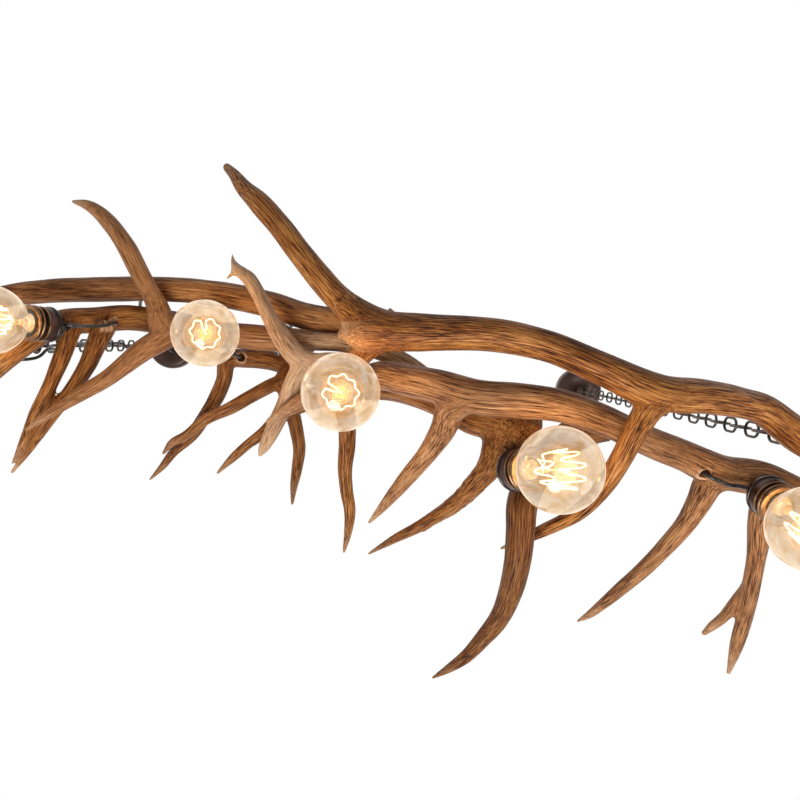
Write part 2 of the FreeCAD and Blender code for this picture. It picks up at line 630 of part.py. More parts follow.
def holder_cap():
    """The dark flange behind the cup and the dome that narrows to a neck round the nipple."""
    start = FLANGE_START
    shoulder = start + FLANGE_THICKNESS
    bore = NIPPLE_RADIUS + FIT_GAP
    neck = COLLAR_NECK_RADIUS
    wall = HOLDER_WALL
    tall = DOME_END - shoulder
    outside = []
    inside = []
    for part in (0.0, 0.3, 0.55, 0.75, 0.9, 1.0):
        radius = neck + (HOLDER_RADIUS - wall - neck) * math.sqrt(1 - part ** 2)
        outside.append((radius, shoulder + tall * part))
        inside.append((max(radius - wall, bore), shoulder + (tall - wall) * part))
    rim = [(HOLDER_RADIUS - 2 * wall, start), (RING_RADIUS, start), (RING_RADIUS, shoulder)]
    return revolved(rim + outside + [(neck, HOLDER_END), (bore, HOLDER_END)] + inside[::-1])


def holder_insert():
    """The black threaded insert that takes the bulb's cap, with its end contact."""
    front = HOLDER_START
    outer = HOLDER_SKIRT
    bore = CAP_RADIUS + 0.4
    floor = CAP_END + 0.3
    return revolved([(NECK_RADIUS + 1.2, front), (outer, front), (outer, INSERT_END - 3),
                     (outer - 3, INSERT_END), (0, INSERT_END), (0, floor), (bore, floor),
                     (bore, front + 8)])


def shade_ring(start):
    inner = HOLDER_SKIRT + FIT_GAP
    half = RING_THICKNESS / 2
    return revolved([(inner, start), (RING_RADIUS - 1, start), (RING_RADIUS, start + half),
                     (RING_RADIUS - 1, start + 2 * half), (inner, start + 2 * half)])


# ---------------------------------------------------------------- build
os.makedirs("parts", exist_ok=True)
link_form = link()
SIDES = {"left": (0.0, LEFT_LINKS), "right": (HOOK_SPACING, RIGHT_LINKS)}

nuts = []
collars = []
eyes = {}
for side, (x, count) in SIDES.items():
    shift = V(x, 0, 0)
    for node, shape in (("canopy_", canopy(side == "left")), ("ceiling_bracket_", bracket()),
                        ("hook_", hook())):
        shape.translate(shift)
        save(node + side, shape)
    nut_solid = nut(WEB_TOP)
    nut_solid.translate(shift)
    nuts.append(nut_solid)
    collar_solid = collar()
    collar_solid.translate(shift)
    collars.append(collar_solid)
    save("top_link_" + side, placed_link(V(x, 0, TOP_LINK_CENTRE), True))
    save("chain_" + side, chain(x, count))
    eyes[side] = eye_screw(x, count)
    save("eye_screw_" + side, eyes[side][0])
save("hook_nuts", Part.makeCompound(nuts))
save("canopy_nuts", Part.makeCompound(collars))
save("terminal_block", terminal_block())
save("cable_grommet", grommet())

# The supply cable goes down the corner between the links and crosses through four of them.
near = CABLE_OFFSET
exit_x, exit_y = CABLE_EXIT
cable_start = WEB_TOP - BRACKET_THICKNESS - TERMINAL_SIZE[2] / 2
CABLE_LOW = -684.0
CABLE_TOP = [(exit_x, exit_y, cable_start), (exit_x, exit_y, -46), (12, 13, -64), (near, near, -86),
             (near, near, -104)]
CROSSINGS = (3, 8, 13, 18)
CROSS_HALF = 9.0
cable_route = [(near, near, -104)]
corner_x = near
corner_y = near
for number in CROSSINGS:
    z = link_centre(0, number).z
    cable_route.append((corner_x, corner_y, z + CROSS_HALF))
    if number % 2 == 1:
        corner_x = -corner_x
    else:
        corner_y = -corner_y
    cable_route.append((corner_x, corner_y, z - CROSS_HALF))
cable_route.append((corner_x, corner_y, CABLE_LOW))
CABLE_BOTTOM = [(near, near, CABLE_LOW), (near, near, -700), (4, 18, -720), (-9, 23, -742),
                (-13, 20, -764)]
save("cable_top", rounded_tube(CABLE_TOP, CABLE_RADIUS))
save("cable_chain", rounded_tube(cable_route, CABLE_RADIUS))
save("cable_bottom", rounded_tube(CABLE_BOTTOM, CABLE_RADIUS))

# Holes that the antlers get, by antler.
drilled = {name: [] for name in ANTLERS}
screws = []
for join in JOINS:
    screw, hole = joining_screw(join)
    screws.append(screw)
    drilled[join[0]].append(hole)
    drilled[join[2]].append(hole)
save("joining_screws", Part.makeCompound(screws))
for side, carrier in (("left", "antler_back_left"), ("right", "antler_top_front")):
    start = eyes[side][1]
    deep = V(0, 0, EYE_SHANK_LENGTH)
    drilled[carrier].append(cylinder(EYE_SHANK_RADIUS + FIT_GAP, start - deep, start))
    ring_base = start - V(0, 0, EYE_WIRE_RADIUS + SEAT_GAP)
    recess = EYE_RING_RADIUS + EYE_WIRE_RADIUS + 1
    drilled[carrier].append(cylinder(recess, ring_base, start + V(0, 0, EYE_RING_RADIUS)))
cable_end = V(*CABLE_BOTTOM[-1])
cable_up = V(*CABLE_BOTTOM[-2]) - cable_end
drilled["antler_back_left"].append(cylinder(CABLE_RADIUS + 1.0, cable_end, cable_end + cable_up))

forms = {"cap": cap(), "glass": glass(), "filament": filament(), "shell": holder_shell(),
         "back": holder_cap(), "insert": holder_insert()}
groups = {"holder_caps": [], "holder_inserts": [], "shade_rings": [], "lamp_nipples": [],
          "lamp_leads": []}
for name, lamp in LAMPS.items():
    globe = V(*lamp["globe"])
    toward = V(*lamp["toward"]).normalize()
    for form, node in (("glass", "bulb_glass_"), ("cap", "bulb_cap_"),
                       ("filament", "bulb_filament_"), ("shell", "lampholder_")):
        save(node + name, along(forms[form], globe, toward))
    groups["holder_inserts"].append(along(forms["insert"], globe, toward))
    for start in (HOLDER_START + 1, HOLDER_START + 1 + RING_STEP):
        groups["shade_rings"].append(along(shade_ring(start), globe, toward))
    nipple_start = globe + toward * (INSERT_END + FIT_GAP)
    nipple_end = globe + toward * (HOLDER_END + NIPPLE_REACH)
    groups["lamp_nipples"].append(cylinder(NIPPLE_RADIUS, nipple_start, nipple_end))
    seat = globe + toward * HOLDER_END
    drilled[lamp["carrier"]].append(cylinder(NIPPLE_RADIUS + FIT_GAP, seat, nipple_end))
    dome_end = globe + toward * DOME_END
    flange = globe + toward * FLANGE_START
    drilled[lamp["carrier"]].append(cylinder(COLLAR_NECK_RADIUS + 1, dome_end, seat))
    drilled[lamp["carrier"]].append(cylinder(RING_RADIUS + 1, flange, dome_end))

    route = [V(*point) for point in lamp["lead"]]
    side = route[-1] - seat
    side = (side - toward * side.dot(toward)).normalize()
    entry = seat - toward * LEAD_DEPTH + side * LEAD_ENTRY
    outside = entry + toward * 5 + side * 14
    route += [outside, entry]
    groups["lamp_leads"].append(rounded_tube(route, LEAD_RADIUS))
    socket = cylinder(LEAD_RADIUS + FIT_GAP, entry, outside)
    groups["holder_caps"].append(along(forms["back"], globe, toward).cut(socket))
    out = (route[1] - route[0]).normalize()
    drilled[lamp["hole"]].append(cylinder(LEAD_RADIUS + 1.6, route[0], route[1] + out * 20))
    drilled[lamp["hole"]].append(cylinder(LEAD_RADIUS + 1.6, entry, outside))
    drilled[lamp["hole"]].append(Part.makeSphere(3 * LEAD_RADIUS, outside))
for node, solids in groups.items():
    save(node, Part.makeCompound(solids))

for name in ANTLERS:
    shape = antler(name)
    for hole in drilled[name]:
        shape = shape.cut(hole)
    solids = sorted(shape.Solids, key=lambda solid: solid.Volume)
    save(name, solids[-1])

print("hinge lines: hook %.2f, chain %.2f" % (HOOK_PIVOT, CHAIN_PIVOT))
for side, (x, count) in SIDES.items():
    print(side, "chain end %.2f, eye's lowest wire %.2f" % (chain_end(x, count).z, eyes[side][1].z))
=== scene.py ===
import json
import math

import bmesh
import bpy
import numpy as np
from mathutils import Matrix, Vector, noise

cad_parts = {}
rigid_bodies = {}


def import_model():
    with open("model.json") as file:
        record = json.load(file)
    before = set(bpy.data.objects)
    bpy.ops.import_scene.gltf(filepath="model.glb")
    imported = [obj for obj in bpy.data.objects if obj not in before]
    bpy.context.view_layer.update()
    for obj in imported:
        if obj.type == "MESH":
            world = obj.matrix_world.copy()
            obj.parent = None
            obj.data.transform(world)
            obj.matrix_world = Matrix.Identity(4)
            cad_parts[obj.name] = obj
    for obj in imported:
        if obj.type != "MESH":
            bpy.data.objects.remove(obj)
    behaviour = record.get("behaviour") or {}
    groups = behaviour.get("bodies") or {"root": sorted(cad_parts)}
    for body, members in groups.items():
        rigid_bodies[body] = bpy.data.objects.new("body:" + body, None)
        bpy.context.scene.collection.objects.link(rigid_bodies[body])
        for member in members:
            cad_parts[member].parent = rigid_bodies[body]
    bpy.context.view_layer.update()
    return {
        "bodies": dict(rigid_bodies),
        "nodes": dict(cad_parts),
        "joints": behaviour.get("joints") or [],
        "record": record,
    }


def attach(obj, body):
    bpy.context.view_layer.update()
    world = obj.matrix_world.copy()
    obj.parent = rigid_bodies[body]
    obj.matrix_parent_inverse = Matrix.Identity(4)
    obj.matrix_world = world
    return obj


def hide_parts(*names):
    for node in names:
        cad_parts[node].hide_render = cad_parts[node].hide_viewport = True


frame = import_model()
MM = 1000
X = Vector((1, 0, 0))
Y = Vector((0, 1, 0))
Z = Vector((0, 0, 1))

# ---------------------------------------------------------------- camera, as the photograph
TURN = math.radians(6.23)
CAMERA_PLACE = (0.5268, -0.0605, -1.8)
CAMERA_LENS = 30.24
CAM_X = (0.99931, -0.00302, -0.03693)
CAM_Y = (0.0, 0.99667, -0.08157)
CAM_Z = (0.03705, 0.08152, 0.99598)


def to_row(vector):
    """A direction in the photograph's axes (right, down, away), in the row frame."""
    c, s = math.cos(TURN), math.sin(TURN)
    return Vector((c * vector[0] + s * vector[1], -s * vector[0] + c * vector[1], vector[2]))


right, down, away = to_row(CAM_X), to_row(CAM_Y), to_row(CAM_Z)
camera_data = bpy.data.cameras.new("camera")
camera_data.lens = CAMERA_LENS
camera_data.sensor_width = 36.0
camera_data.clip_start = 0.05
camera_data.clip_end = 60
camera = bpy.data.objects.new("camera", camera_data)
bpy.context.scene.collection.objects.link(camera)
axes = Matrix((right, -down, -away)).transposed()
camera.matrix_world = Matrix.Translation(CAMERA_PLACE) @ axes.to_4x4()
bpy.context.scene.camera = camera

# ---------------------------------------------------------------- antler routes, millimetres
ANTLERS = {
    "antler_top_front": {
        "beam": [
            (1184, 26, -962, 27), (1134, 13, -965, 24.5), (1082, -3, -967, 23), (1021, -34, -975, 21),
            (983, -40, -988, 20.5), (926, -43, -1012, 22), (856, -43, -1032, 23), (790, -63, -1025, 20),
            (734, -81, -1005, 20), (676, -88, -985, 22), (618, -86, -965, 23.5), (556, -80, -950, 26.5),
            (516, -77, -942, 27.5), (494, -72, -938, 20), (486, -70, -936, 9)],
        "upper_tine": [
            (557, -78, -950, 25), (512, -88, -940, 26), (475, -113, -928, 19), (445, -140, -920, 18),
            (417, -168, -910, 17), (385, -202, -895, 16), (352, -232, -878, 15.5), (326, -253, -860, 12),
            (310, -270, -848, 8.5), (297, -281, -837, 6.5)],
        "lower_tine": [
            (537, -76, -945, 23), (513, -52, -915, 18), (498, -20, -880, 15), (488, 12, -856, 15.5),
            (498, 51, -840, 14), (502, 87, -835, 12.5), (503, 124, -832, 11.5), (509, 157, -830, 10),
            (516, 184, -828, 9), (517, 217, -826, 6.5), (514, 248, -824, 2.5)],
        "front_tine": [
            (877, -42, -1030, 20), (855, -27, -1032, 18.5), (839, 4, -1034, 15), (829, 39, -1028, 13.5),
            (818, 79, -1012, 12), (801, 118, -985, 10), (765, 155, -955, 8), (738, 178, -938, 5.5),
            (723, 189, -930, 2)],
    },
    "antler_middle_front": {
        "beam": [
            (1181, 114, -950, 28), (1119, 82, -948, 25), (1054, 58, -944, 25), (989, 52, -954, 23.5),
            (927, 34, -968, 21), (866, 17, -984, 20), (808, -2, -998, 20), (754, -13, -1008, 21),
            (704, -14, -1014, 22.5), (658, -12, -1002, 23), (614, -17, -958, 23), (578, -19, -915, 22.5),
            (545, -20, -875, 22), (514, -9, -835, 19), (483, 8, -815, 16), (451, 22, -810, 14.5),
            (427, 35, -808, 12.5), (404, 53, -806, 10), (383, 69, -804, 5)],
        "third_tine": [
            (648, -10, -994, 20), (631, 6, -970, 21), (623, 37, -958, 17.5), (608, 70, -950, 13.5),
            (589, 101, -942, 11.5), (572, 130, -932, 9), (558, 154, -924, 6), (545, 175, -916, 2.5)],
        "second_tine": [
            (1000, 54, -952, 23), (981, 67, -950, 20), (971, 95, -948, 16.5), (960, 127, -942, 13.5),
            (939, 167, -934, 12), (918, 202, -926, 11), (897, 231, -918, 9.5), (878, 258, -910, 7.5),
            (863, 276, -906, 5.5), (849, 289, -902, 2)],
        "brow_tine": [
            (1089, 64, -948, 22), (1062, 84, -948, 19), (1057, 115, -946, 15.5), (1062, 147, -942, 14),
            (1065, 179, -938, 13), (1067, 221, -932, 12), (1068, 260, -926, 10.5), (1067, 299, -920, 8.5),
            (1066, 337, -914, 3)],
        "spur": [
            (1065, 167, -940, 11.5), (1068, 202, -928, 10), (1060, 231, -920, 9.5), (1048, 258, -914, 7.5),
            (1034, 276, -910, 6), (1026, 287, -908, 3.5)],
    },
    "antler_pale_forked": {
        "beam": [
            (482, -31, -813, 15), (462, -27, -808, 16), (437, -24, -800, 16.5), (415, -30, -796, 17.5),
            (391, -53, -792, 15.5), (366, -84, -785, 12.5), (344, -117, -772, 11.5),
            (323, -141, -760, 11.5), (304, -153, -750, 9.5), (296, -164, -742, 4), (292, -175, -736, 1.2)],
        "prong": [
            (315, -150, -755, 8.5), (305, -148, -752, 7), (296, -143, -748, 4.5), (289, -136, -744, 1.5)],
        "lower_tine": [
            (433, -31, -800, 15), (420, -8, -796, 16.5), (410, 17, -788, 15), (400, 47, -778, 14.5),
            (388, 78, -772, 13), (379, 102, -769, 11), (372, 119, -767, 7.5), (369, 126, -766, 4)],
    },
    "antler_left_front": {
        "beam": [
            (428, -56, -688, 19.5), (387, -53, -688, 21.5), (342, -51, -687, 22), (298, -50, -686, 22),
            (249, -47, -688, 23), (211, -48, -696, 25), (189, -53, -704, 24), (173, -88, -708, 17.5),
            (154, -116, -706, 15.5), (135, -144, -702, 16), (116, -171, -696, 16), (92, -198, -688, 14.5),
            (66, -219, -678, 12.5), (39, -233, -668, 9), (11, -238, -658, 3)],
        "lower_tine": [
            (207, -49, -702, 21), (186, -30, -712, 20), (163, -9, -726, 18), (145, 13, -742, 15.5),
            (124, 37, -758, 13.5), (101, 57, -774, 11.5), (75, 81, -788, 8.5), (51, 102, -796, 6),
            (32, 120, -802, 2)],
    },
    "antler_back_long": {
        "beam": [
            (551, -89, -784, 28), (546, -88, -783, 31.5), (539, -88, -782, 23.5), (501, -86, -770, 22),
            (462, -89, -754, 22.5), (413, -93, -738, 22.5), (354, -105, -714, 22.5), (285, -113, -692, 22),
            (215, -115, -674, 21.5), (146, -111, -658, 21.5), (58, -101, -642, 22), (-11, -92, -634, 21.5),
            (-78, -79, -632, 20), (-133, -61, -634, 17), (-179, -37, -638, 11.5), (-209, -16, -642, 4)],
    },
    "antler_back_left": {
        "beam": [
            (211, -56, -640, 23), (171, -59, -648, 22.5), (121, -60, -670, 22), (79, -50, -700, 22),
            (38, -40, -730, 21), (10, -18, -746, 19.5), (-14, 12, -767, 18.5), (-38, 41, -772, 16.5),
            (-64, 73, -776, 13), (-91, 100, -777, 9), (-117, 124, -774, 3)],
        "second_tine": [
            (98, -44, -710, 19), (92, -13, -724, 16), (84, 22, -734, 13.5), (66, 62, -742, 12.5),
            (44, 99, -748, 11.5), (23, 137, -752, 10), (5, 173, -754, 6), (-8, 196, -754, 2.5)],
        "brow_tine": [
            (55, -39, -730, 17), (53, -7, -740, 14), (46, 32, -750, 12.5), (36, 71, -758, 11.5),
            (25, 102, -762, 10.5), (14, 136, -764, 8), (4, 163, -764, 5), (-4, 181, -764, 2.5)],
    },
    "antler_left_lower": {
        "beam": [
            (497, 5, -724, 14.5), (452, 1, -712, 17), (405, -7, -685, 17.5), (354, -15, -661, 17.5),
            (312, -14, -655, 17.5), (285, -8, -663, 16.5), (282, 25, -666, 14), (273, 57, -670, 13.5),
            (259, 87, -674, 12), (241, 121, -678, 11), (215, 151, -680, 8.5), (197, 180, -682, 6),
            (180, 202, -684, 2)],
        "arch_tine": [
            (397, -7, -688, 14), (385, 7, -699, 14.5), (392, 31, -711, 13.5), (406, 61, -718, 12.5),
            (417, 92, -722, 11.5), (424, 120, -724, 10.5), (423, 150, -724, 9), (421, 180, -722, 6.5),
            (421, 210, -720, 2.5)],
        "middle_tine": [
            (389, 9, -704, 12), (366, 24, -710, 12), (337, 44, -714, 11.5), (305, 67, -716, 11),
            (269, 89, -716, 9.5), (241, 117, -715, 8), (219, 132, -714, 6.5), (207, 150, -713, 3)],
    },
    "antler_burr_front": {
        "beam": [
            (730, 41, -964, 31.5), (724, 37, -963, 38), (718, 31, -962, 36.5), (708, 25, -959, 29),
            (690, 20, -952, 26), (666, 19, -934, 24), (635, 9, -906, 22), (596, 1, -868, 21),
            (555, -1, -817, 20.5), (514, 7, -788, 19.5), (474, 21, -764, 17.5), (422, 45, -750, 14),
            (391, 68, -744, 12), (367, 97, -740, 10.5), (344, 118, -737, 8.5), (323, 141, -735, 7),
            (300, 169, -733, 2.5)],
        "brow_tine": [
            (698, 24, -956, 24), (695, 50, -962, 21.5), (687, 76, -966, 17), (672, 102, -960, 14),
            (655, 128, -948, 12), (634, 152, -932, 10.5), (609, 173, -926, 8.5), (584, 191, -920, 6.5),
            (549, 220, -910, 2)],
    },
    "antler_thick_tine": {
        "beam": [
            (836, 8, -943, 23.5), (818, 16, -936, 23.5), (793, 36, -924, 23.5), (767, 65, -926, 23),
            (747, 94, -942, 22), (735, 121, -964, 20.5), (735, 151, -972, 19.5), (736, 189, -974, 18),
            (733, 230, -970, 16), (726, 272, -958, 13.5), (710, 303, -952, 11), (692, 334, -944, 8.5),
            (672, 357, -936, 6), (653, 375, -930, 2)],
    },
    "antler_pale_burr": {
        "beam": [
            (379, -57, -752, 17), (386, -58, -752, 20.5), (393, -58, -753, 14.5), (427, -55, -764, 14.5),
            (476, -58, -788, 14.5), (528, -54, -812, 14.5), (570, -41, -824, 14.5), (604, -22, -831, 13.5),
            (639, 7, -850, 11.5), (676, 28, -868, 9), (704, 41, -880, 5.5), (723, 49, -886, 2)],
    },
}
# Every drilled hole that shows: antler, a point in it, the way out and its worn radius, millimetres.
# The one in antler_back_left is not cut, because its boolean gives back an empty mesh: see drill().
LEAD_HOLES = [
    ("antler_back_left", (112, -50, -700), (107.3, -43, -733), 6.6),
    ("antler_left_lower", (310, -14, -664), (306, -16, -686), 6.2),
    ("antler_middle_front", (452, 22, -804), (450, 22, -832), 5.2),
    ("antler_middle_front", (951, 46, -956), (957, 56, -988), 6.2),
]
# How pale (or, below zero, how dark: partly a darker stain, partly painted shade on antlers that hang in
# shadow) and how even each antler's stain is, and how far its burr reaches.
PALE = {"antler_pale_forked": 1.0, "antler_pale_burr": 0.75, "antler_left_front": 0.22,
        "antler_thick_tine": -0.42, "antler_left_lower": -0.25,
        "antler_burr_front": -0.15, "antler_back_long": 0.1, "antler_middle_front": 0.25}
CALM = {"antler_left_front": 0.45, "antler_pale_forked": 0.40, "antler_top_front": 0.05}
BURRS = {"antler_burr_front": 20.0, "antler_pale_burr": 22.0, "antler_back_long": 22.0}

VOXEL = 0.0019
FILLET_ROUNDS = 34
FILLET_REACH = 0.007
HOLE_PASS = 0.02
LIP_WIDTH = 0.0026

GLOBE = 0.0475
NECK_START = 0.038
NECK_RADIUS = 0.0146
CAGE_TURNS = 8
CAGE_SWEEP = 2 * math.pi * 0.94
WIRE_RADIUS = 0.00085
HOOK_WIRE_RADIUS = 0.00022
BLOOM_RADIUS = 0.031
RING_STARTS = (0.057, 0.063)
LAMPS = {
    "left": ((1, -36, -858), (0.457, -0.005, 0.889)),
    "back": ((286, -50, -833), (-0.242, 0.010, 0.970)),
    "middle": ((492, 0, -996), (-0.043, 0.075, 0.996)),
    "front": ((738, 50, -1095), (-0.298, 0.207, 0.932)),
    "right": ((1029, 88, -1088), (0.0, -0.2, 0.98)),
}


# ---------------------------------------------------------------- node helpers
def new_material(name):
    material = bpy.data.materials.new(name)
    material.use_nodes = True
    tree = material.node_tree
    tree.nodes.clear()
    return material, tree


def add(tree, kind, **inputs):
    node = tree.nodes.new(kind)
    for key, value in inputs.items():
        if key.startswith("p_"):
            setattr(node, key[2:], value)
        else:
            socket = node.inputs[int(key[1:])] if key[0] == "i" and key[1:].isdigit() \
                else node.inputs[key.replace("_", " ")]
            if isinstance(value, bpy.types.NodeSocket):
                tree.links.new(value, socket)
            else:
                socket.default_value = value
    return node


def math_node(tree, operation, a, b):
    return add(tree, "ShaderNodeMath", p_operation=operation, i0=a, i1=b).outputs[0]


def scaled(tree, value, factor, more=None):
    """value * factor, or value * factor + more."""
    result = math_node(tree, "MULTIPLY", value, factor)
    return result if more is None else math_node(tree, "ADD", result, more)


def less(tree, a, b):
    return math_node(tree, "SUBTRACT", a, b)


def mix_colour(tree, factor, a, b):
    return add(tree, "ShaderNodeMix", p_data_type="RGBA", i0=factor, i6=a, i7=b).outputs[2]


def mix_float(tree, factor, a, b):
    return add(tree, "ShaderNodeMix", p_data_type="FLOAT", i0=factor, i2=a, i3=b).outputs[0]


def attribute(tree, name, output_name="Fac"):
    return add(tree, "ShaderNodeAttribute", p_attribute_name=name).outputs[output_name]


def object_noise(tree, scale, detail, rough=0.5, distortion=0.0):
    place = add(tree, "ShaderNodeTexCoord").outputs["Object"]
    return add(tree, "ShaderNodeTexNoise", Vector=place, Scale=scale, Detail=detail, Roughness=rough,
               Distortion=distortion).outputs[0]


def bumped(tree, strength, distance, height):
    return add(tree, "ShaderNodeBump", Strength=strength, Distance=distance, Height=height).outputs[0]


def mix_shader(tree, factor, a, b):
    return add(tree, "ShaderNodeMixShader", i0=factor, i1=a, i2=b).outputs[0]


def shade(tree, **inputs):
    """Ends a material with a principled shader."""
    output(tree, add(tree, "ShaderNodeBsdfPrincipled", **inputs).outputs[0])


def ramp(tree, factor, stops, interpolation="LINEAR"):
    node = tree.nodes.new("ShaderNodeValToRGB")
    node.color_ramp.interpolation = interpolation
    elements = node.color_ramp.elements
    while len(elements) < len(stops):
        elements.new(0.5)
    for element, (place, colour) in zip(elements, stops):
        element.position = place
        element.color = (*colour, 1.0)
    tree.links.new(factor, node.inputs[0])
    return node.outputs[0]


def stretched_noise(tree, vector, scale, along, detail=4.0, rough=0.6, offset=0.0):
    """Noise whose cells are drawn out along the grain."""
    mapped = add(tree, "ShaderNodeMapping", p_vector_type="POINT", Vector=vector,
                 Location=(offset, offset, offset), Scale=(scale, scale, scale * along))
    return add(tree, "ShaderNodeTexNoise", Vector=mapped.outputs[0], Scale=1.0, Detail=detail,
               Roughness=rough).outputs[0]


def output(tree, surface):
    add(tree, "ShaderNodeOutputMaterial", Surface=surface)


# ---------------------------------------------------------------- materials
def grain_group():
    """Stained antler's grain: long grooves, finer streaks and soft patches, from straightened
    coordinates."""
    group = bpy.data.node_groups.new("antler_grain", "ShaderNodeTree")
    group.interface.new_socket("Vector", in_out="INPUT", socket_type="NodeSocketVector")
    group.interface.new_socket("Value", in_out="OUTPUT", socket_type="NodeSocketFloat")
    group.interface.new_socket("Height", in_out="OUTPUT", socket_type="NodeSocketFloat")
    start = group.nodes.new("NodeGroupInput").outputs[0]
    hair = stretched_noise(group, start, 1250.0, 0.045, 2.0, 0.6, 5.3)
    fine = stretched_noise(group, start, 760.0, 0.030, 3.0, 0.62)
    middle = stretched_noise(group, start, 380.0, 0.034, 3.0, 0.6, 3.1)
    broad = stretched_noise(group, start, 90.0, 0.14, 3.0, 0.55, 7.7)
    patch = stretched_noise(group, start, 20.0, 0.40, 2.0, 0.5, 1.9)
    grooves = ramp(group, fine, [(0.38, (0, 0, 0)), (0.48, (1, 1, 1))])
    value = 0.5
    for socket, share in ((hair, 0.75), (fine, 0.95), (middle, 0.48), (broad, 0.22), (patch, 0.42)):
        value = scaled(group, less(group, socket, 0.5), share, value)
    value = scaled(group, less(group, grooves, 0.8), 0.16, value)
    height = scaled(group, fine, 0.5, scaled(group, middle, 0.9, scaled(group, grooves, 0.25)))
    end = group.nodes.new("NodeGroupOutput")
    group.links.new(value, end.inputs[0])
    group.links.new(height, end.inputs[1])
    return group


def antler_material():
    material, tree = new_material("stained_antler")
    group = grain_group()
    values = []
    for name in ("grain_a", "grain_b"):
        node = add(tree, "ShaderNodeGroup", p_node_tree=group, i0=attribute(tree, name, "Vector"))
        values.append(node.outputs)
    share = attribute(tree, "grain_share")
    value, height = [mix_float(tree, share, values[1][n], values[0][n]) for n in (0, 1)]
    calm = attribute(tree, "calm")
    value = scaled(tree, value, less(tree, 1.0, calm), scaled(tree, calm, 0.54))
    value = scaled(tree, attribute(tree, "relief"), 0.13, value)
    stain = ramp(tree, value, [(0.24, (0.021, 0.0055, 0.0012)), (0.38, (0.092, 0.0265, 0.0052)),
                               (0.50, (0.218, 0.0700, 0.0135)), (0.63, (0.385, 0.1430, 0.0320)),
                               (0.82, (0.590, 0.2850, 0.0860))])
    bare = ramp(tree, value, [(0.24, (0.140, 0.060, 0.0260)), (0.40, (0.370, 0.190, 0.0960)),
                              (0.54, (0.600, 0.360, 0.2050)), (0.70, (0.780, 0.540, 0.3450)),
                              (0.86, (0.860, 0.680, 0.5000))])
    colour = mix_colour(tree, attribute(tree, "pale"), stain, bare)
    # the dark attribute pulls the colour towards near black: partly darker stain, partly painted shade
    colour = mix_colour(tree, attribute(tree, "dark"), colour, (0.045, 0.016, 0.007, 1.0))
    rough = scaled(tree, less(tree, 1.30, value), 0.62)
    shade(tree, Base_Color=colour, Roughness=rough, Specular_IOR_Level=0.18,
          Normal=bumped(tree, 0.8, 0.0010, height))
    return material


def metal_material(name, low, high, roughness, metallic=1.0, scale=60.0, bump_depth=0.0001, coat=0.0):
    """Painted or plated metal: uneven tone, rubbed lighter where it is worn."""
    material, tree = new_material(name)
    fine = object_noise(tree, scale * 14, 3.0, 0.6)
    mixed = scaled(tree, object_noise(tree, scale, 5.0, 0.6), 0.65, scaled(tree, fine, 0.35))
    colour = ramp(tree, mixed, [(0.35, low), (0.65, high)])
    shade(tree, Base_Color=colour, Roughness=scaled(tree, mixed, 0.30, roughness - 0.15),
          Normal=bumped(tree, 0.5, bump_depth, fine), Metallic=metallic, Coat_Weight=coat,
          Coat_Roughness=0.2)
    return material


def plastic_material(name, low, high, roughness):
    material, tree = new_material(name)
    fine = object_noise(tree, 300.0, 4.0, 0.6)
    colour = ramp(tree, fine, [(0.35, low), (0.7, high)])
    shade(tree, Base_Color=colour, Roughness=scaled(tree, fine, 0.2, roughness - 0.1),
          Normal=bumped(tree, 0.3, 0.00008, fine))
    return material


def glass_material():
    """Thin amber glass that keeps a warm haze from the lit wire inside."""
    material, tree = new_material("amber_glass")
    waves = bumped(tree, 0.35, 0.0006, object_noise(tree, 34.0, 2.0))
    edge = add(tree, "ShaderNodeLayerWeight", Blend=0.35).outputs["Facing"]
    tint = ramp(tree, edge, [(0.0, (0.60, 0.50, 0.38)), (0.55, (0.50, 0.43, 0.34)),
                             (0.92, (0.40, 0.32, 0.23)), (1.0, (0.32, 0.22, 0.12))])
    clear = add(tree, "ShaderNodeBsdfTransparent", Color=tint)
    gloss = add(tree, "ShaderNodeBsdfGlossy", Color=(1.0, 0.95, 0.88, 1.0), Roughness=0.04, Normal=waves)
    grazing = add(tree, "ShaderNodeLayerWeight", Blend=0.5, Normal=waves).outputs["Facing"]
    shine = scaled(tree, math_node(tree, "POWER", grazing, 4.0), 0.75, 0.05)
    surface = mix_shader(tree, shine, clear.outputs[0], gloss.outputs[0])
    cream = ramp(tree, edge, [(0.0, (0.24, 0.190, 0.150)), (0.40, (0.41, 0.350, 0.280)),
                              (0.85, (0.52, 0.440, 0.340)), (1.0, (0.30, 0.210, 0.130))])
    amber = ramp(tree, edge, [(0.0, (0.21, 0.120, 0.045)), (0.5, (0.30, 0.200, 0.105)),
                              (1.0, (0.25, 0.150, 0.070))])
    cloud = object_noise(tree, 38.0, 3.0, 0.55, 1.6)
    swirl = ramp(tree, cloud, [(0.36, (0, 0, 0)), (0.58, (1, 1, 1))])
    glow = add(tree, "ShaderNodeEmission", Color=mix_colour(tree, swirl, amber, cream), Strength=1.0)
    lit = add(tree, "ShaderNodeAddShader", i0=surface, i1=glow.outputs[0])
    bare = add(tree, "ShaderNodeBsdfTransparent", Color=(1.0, 0.93, 0.80, 1.0))
    shadow = add(tree, "ShaderNodeLightPath").outputs["Is Shadow Ray"]
    output(tree, mix_shader(tree, shadow, lit.outputs[0], bare.outputs[0]))
    return material


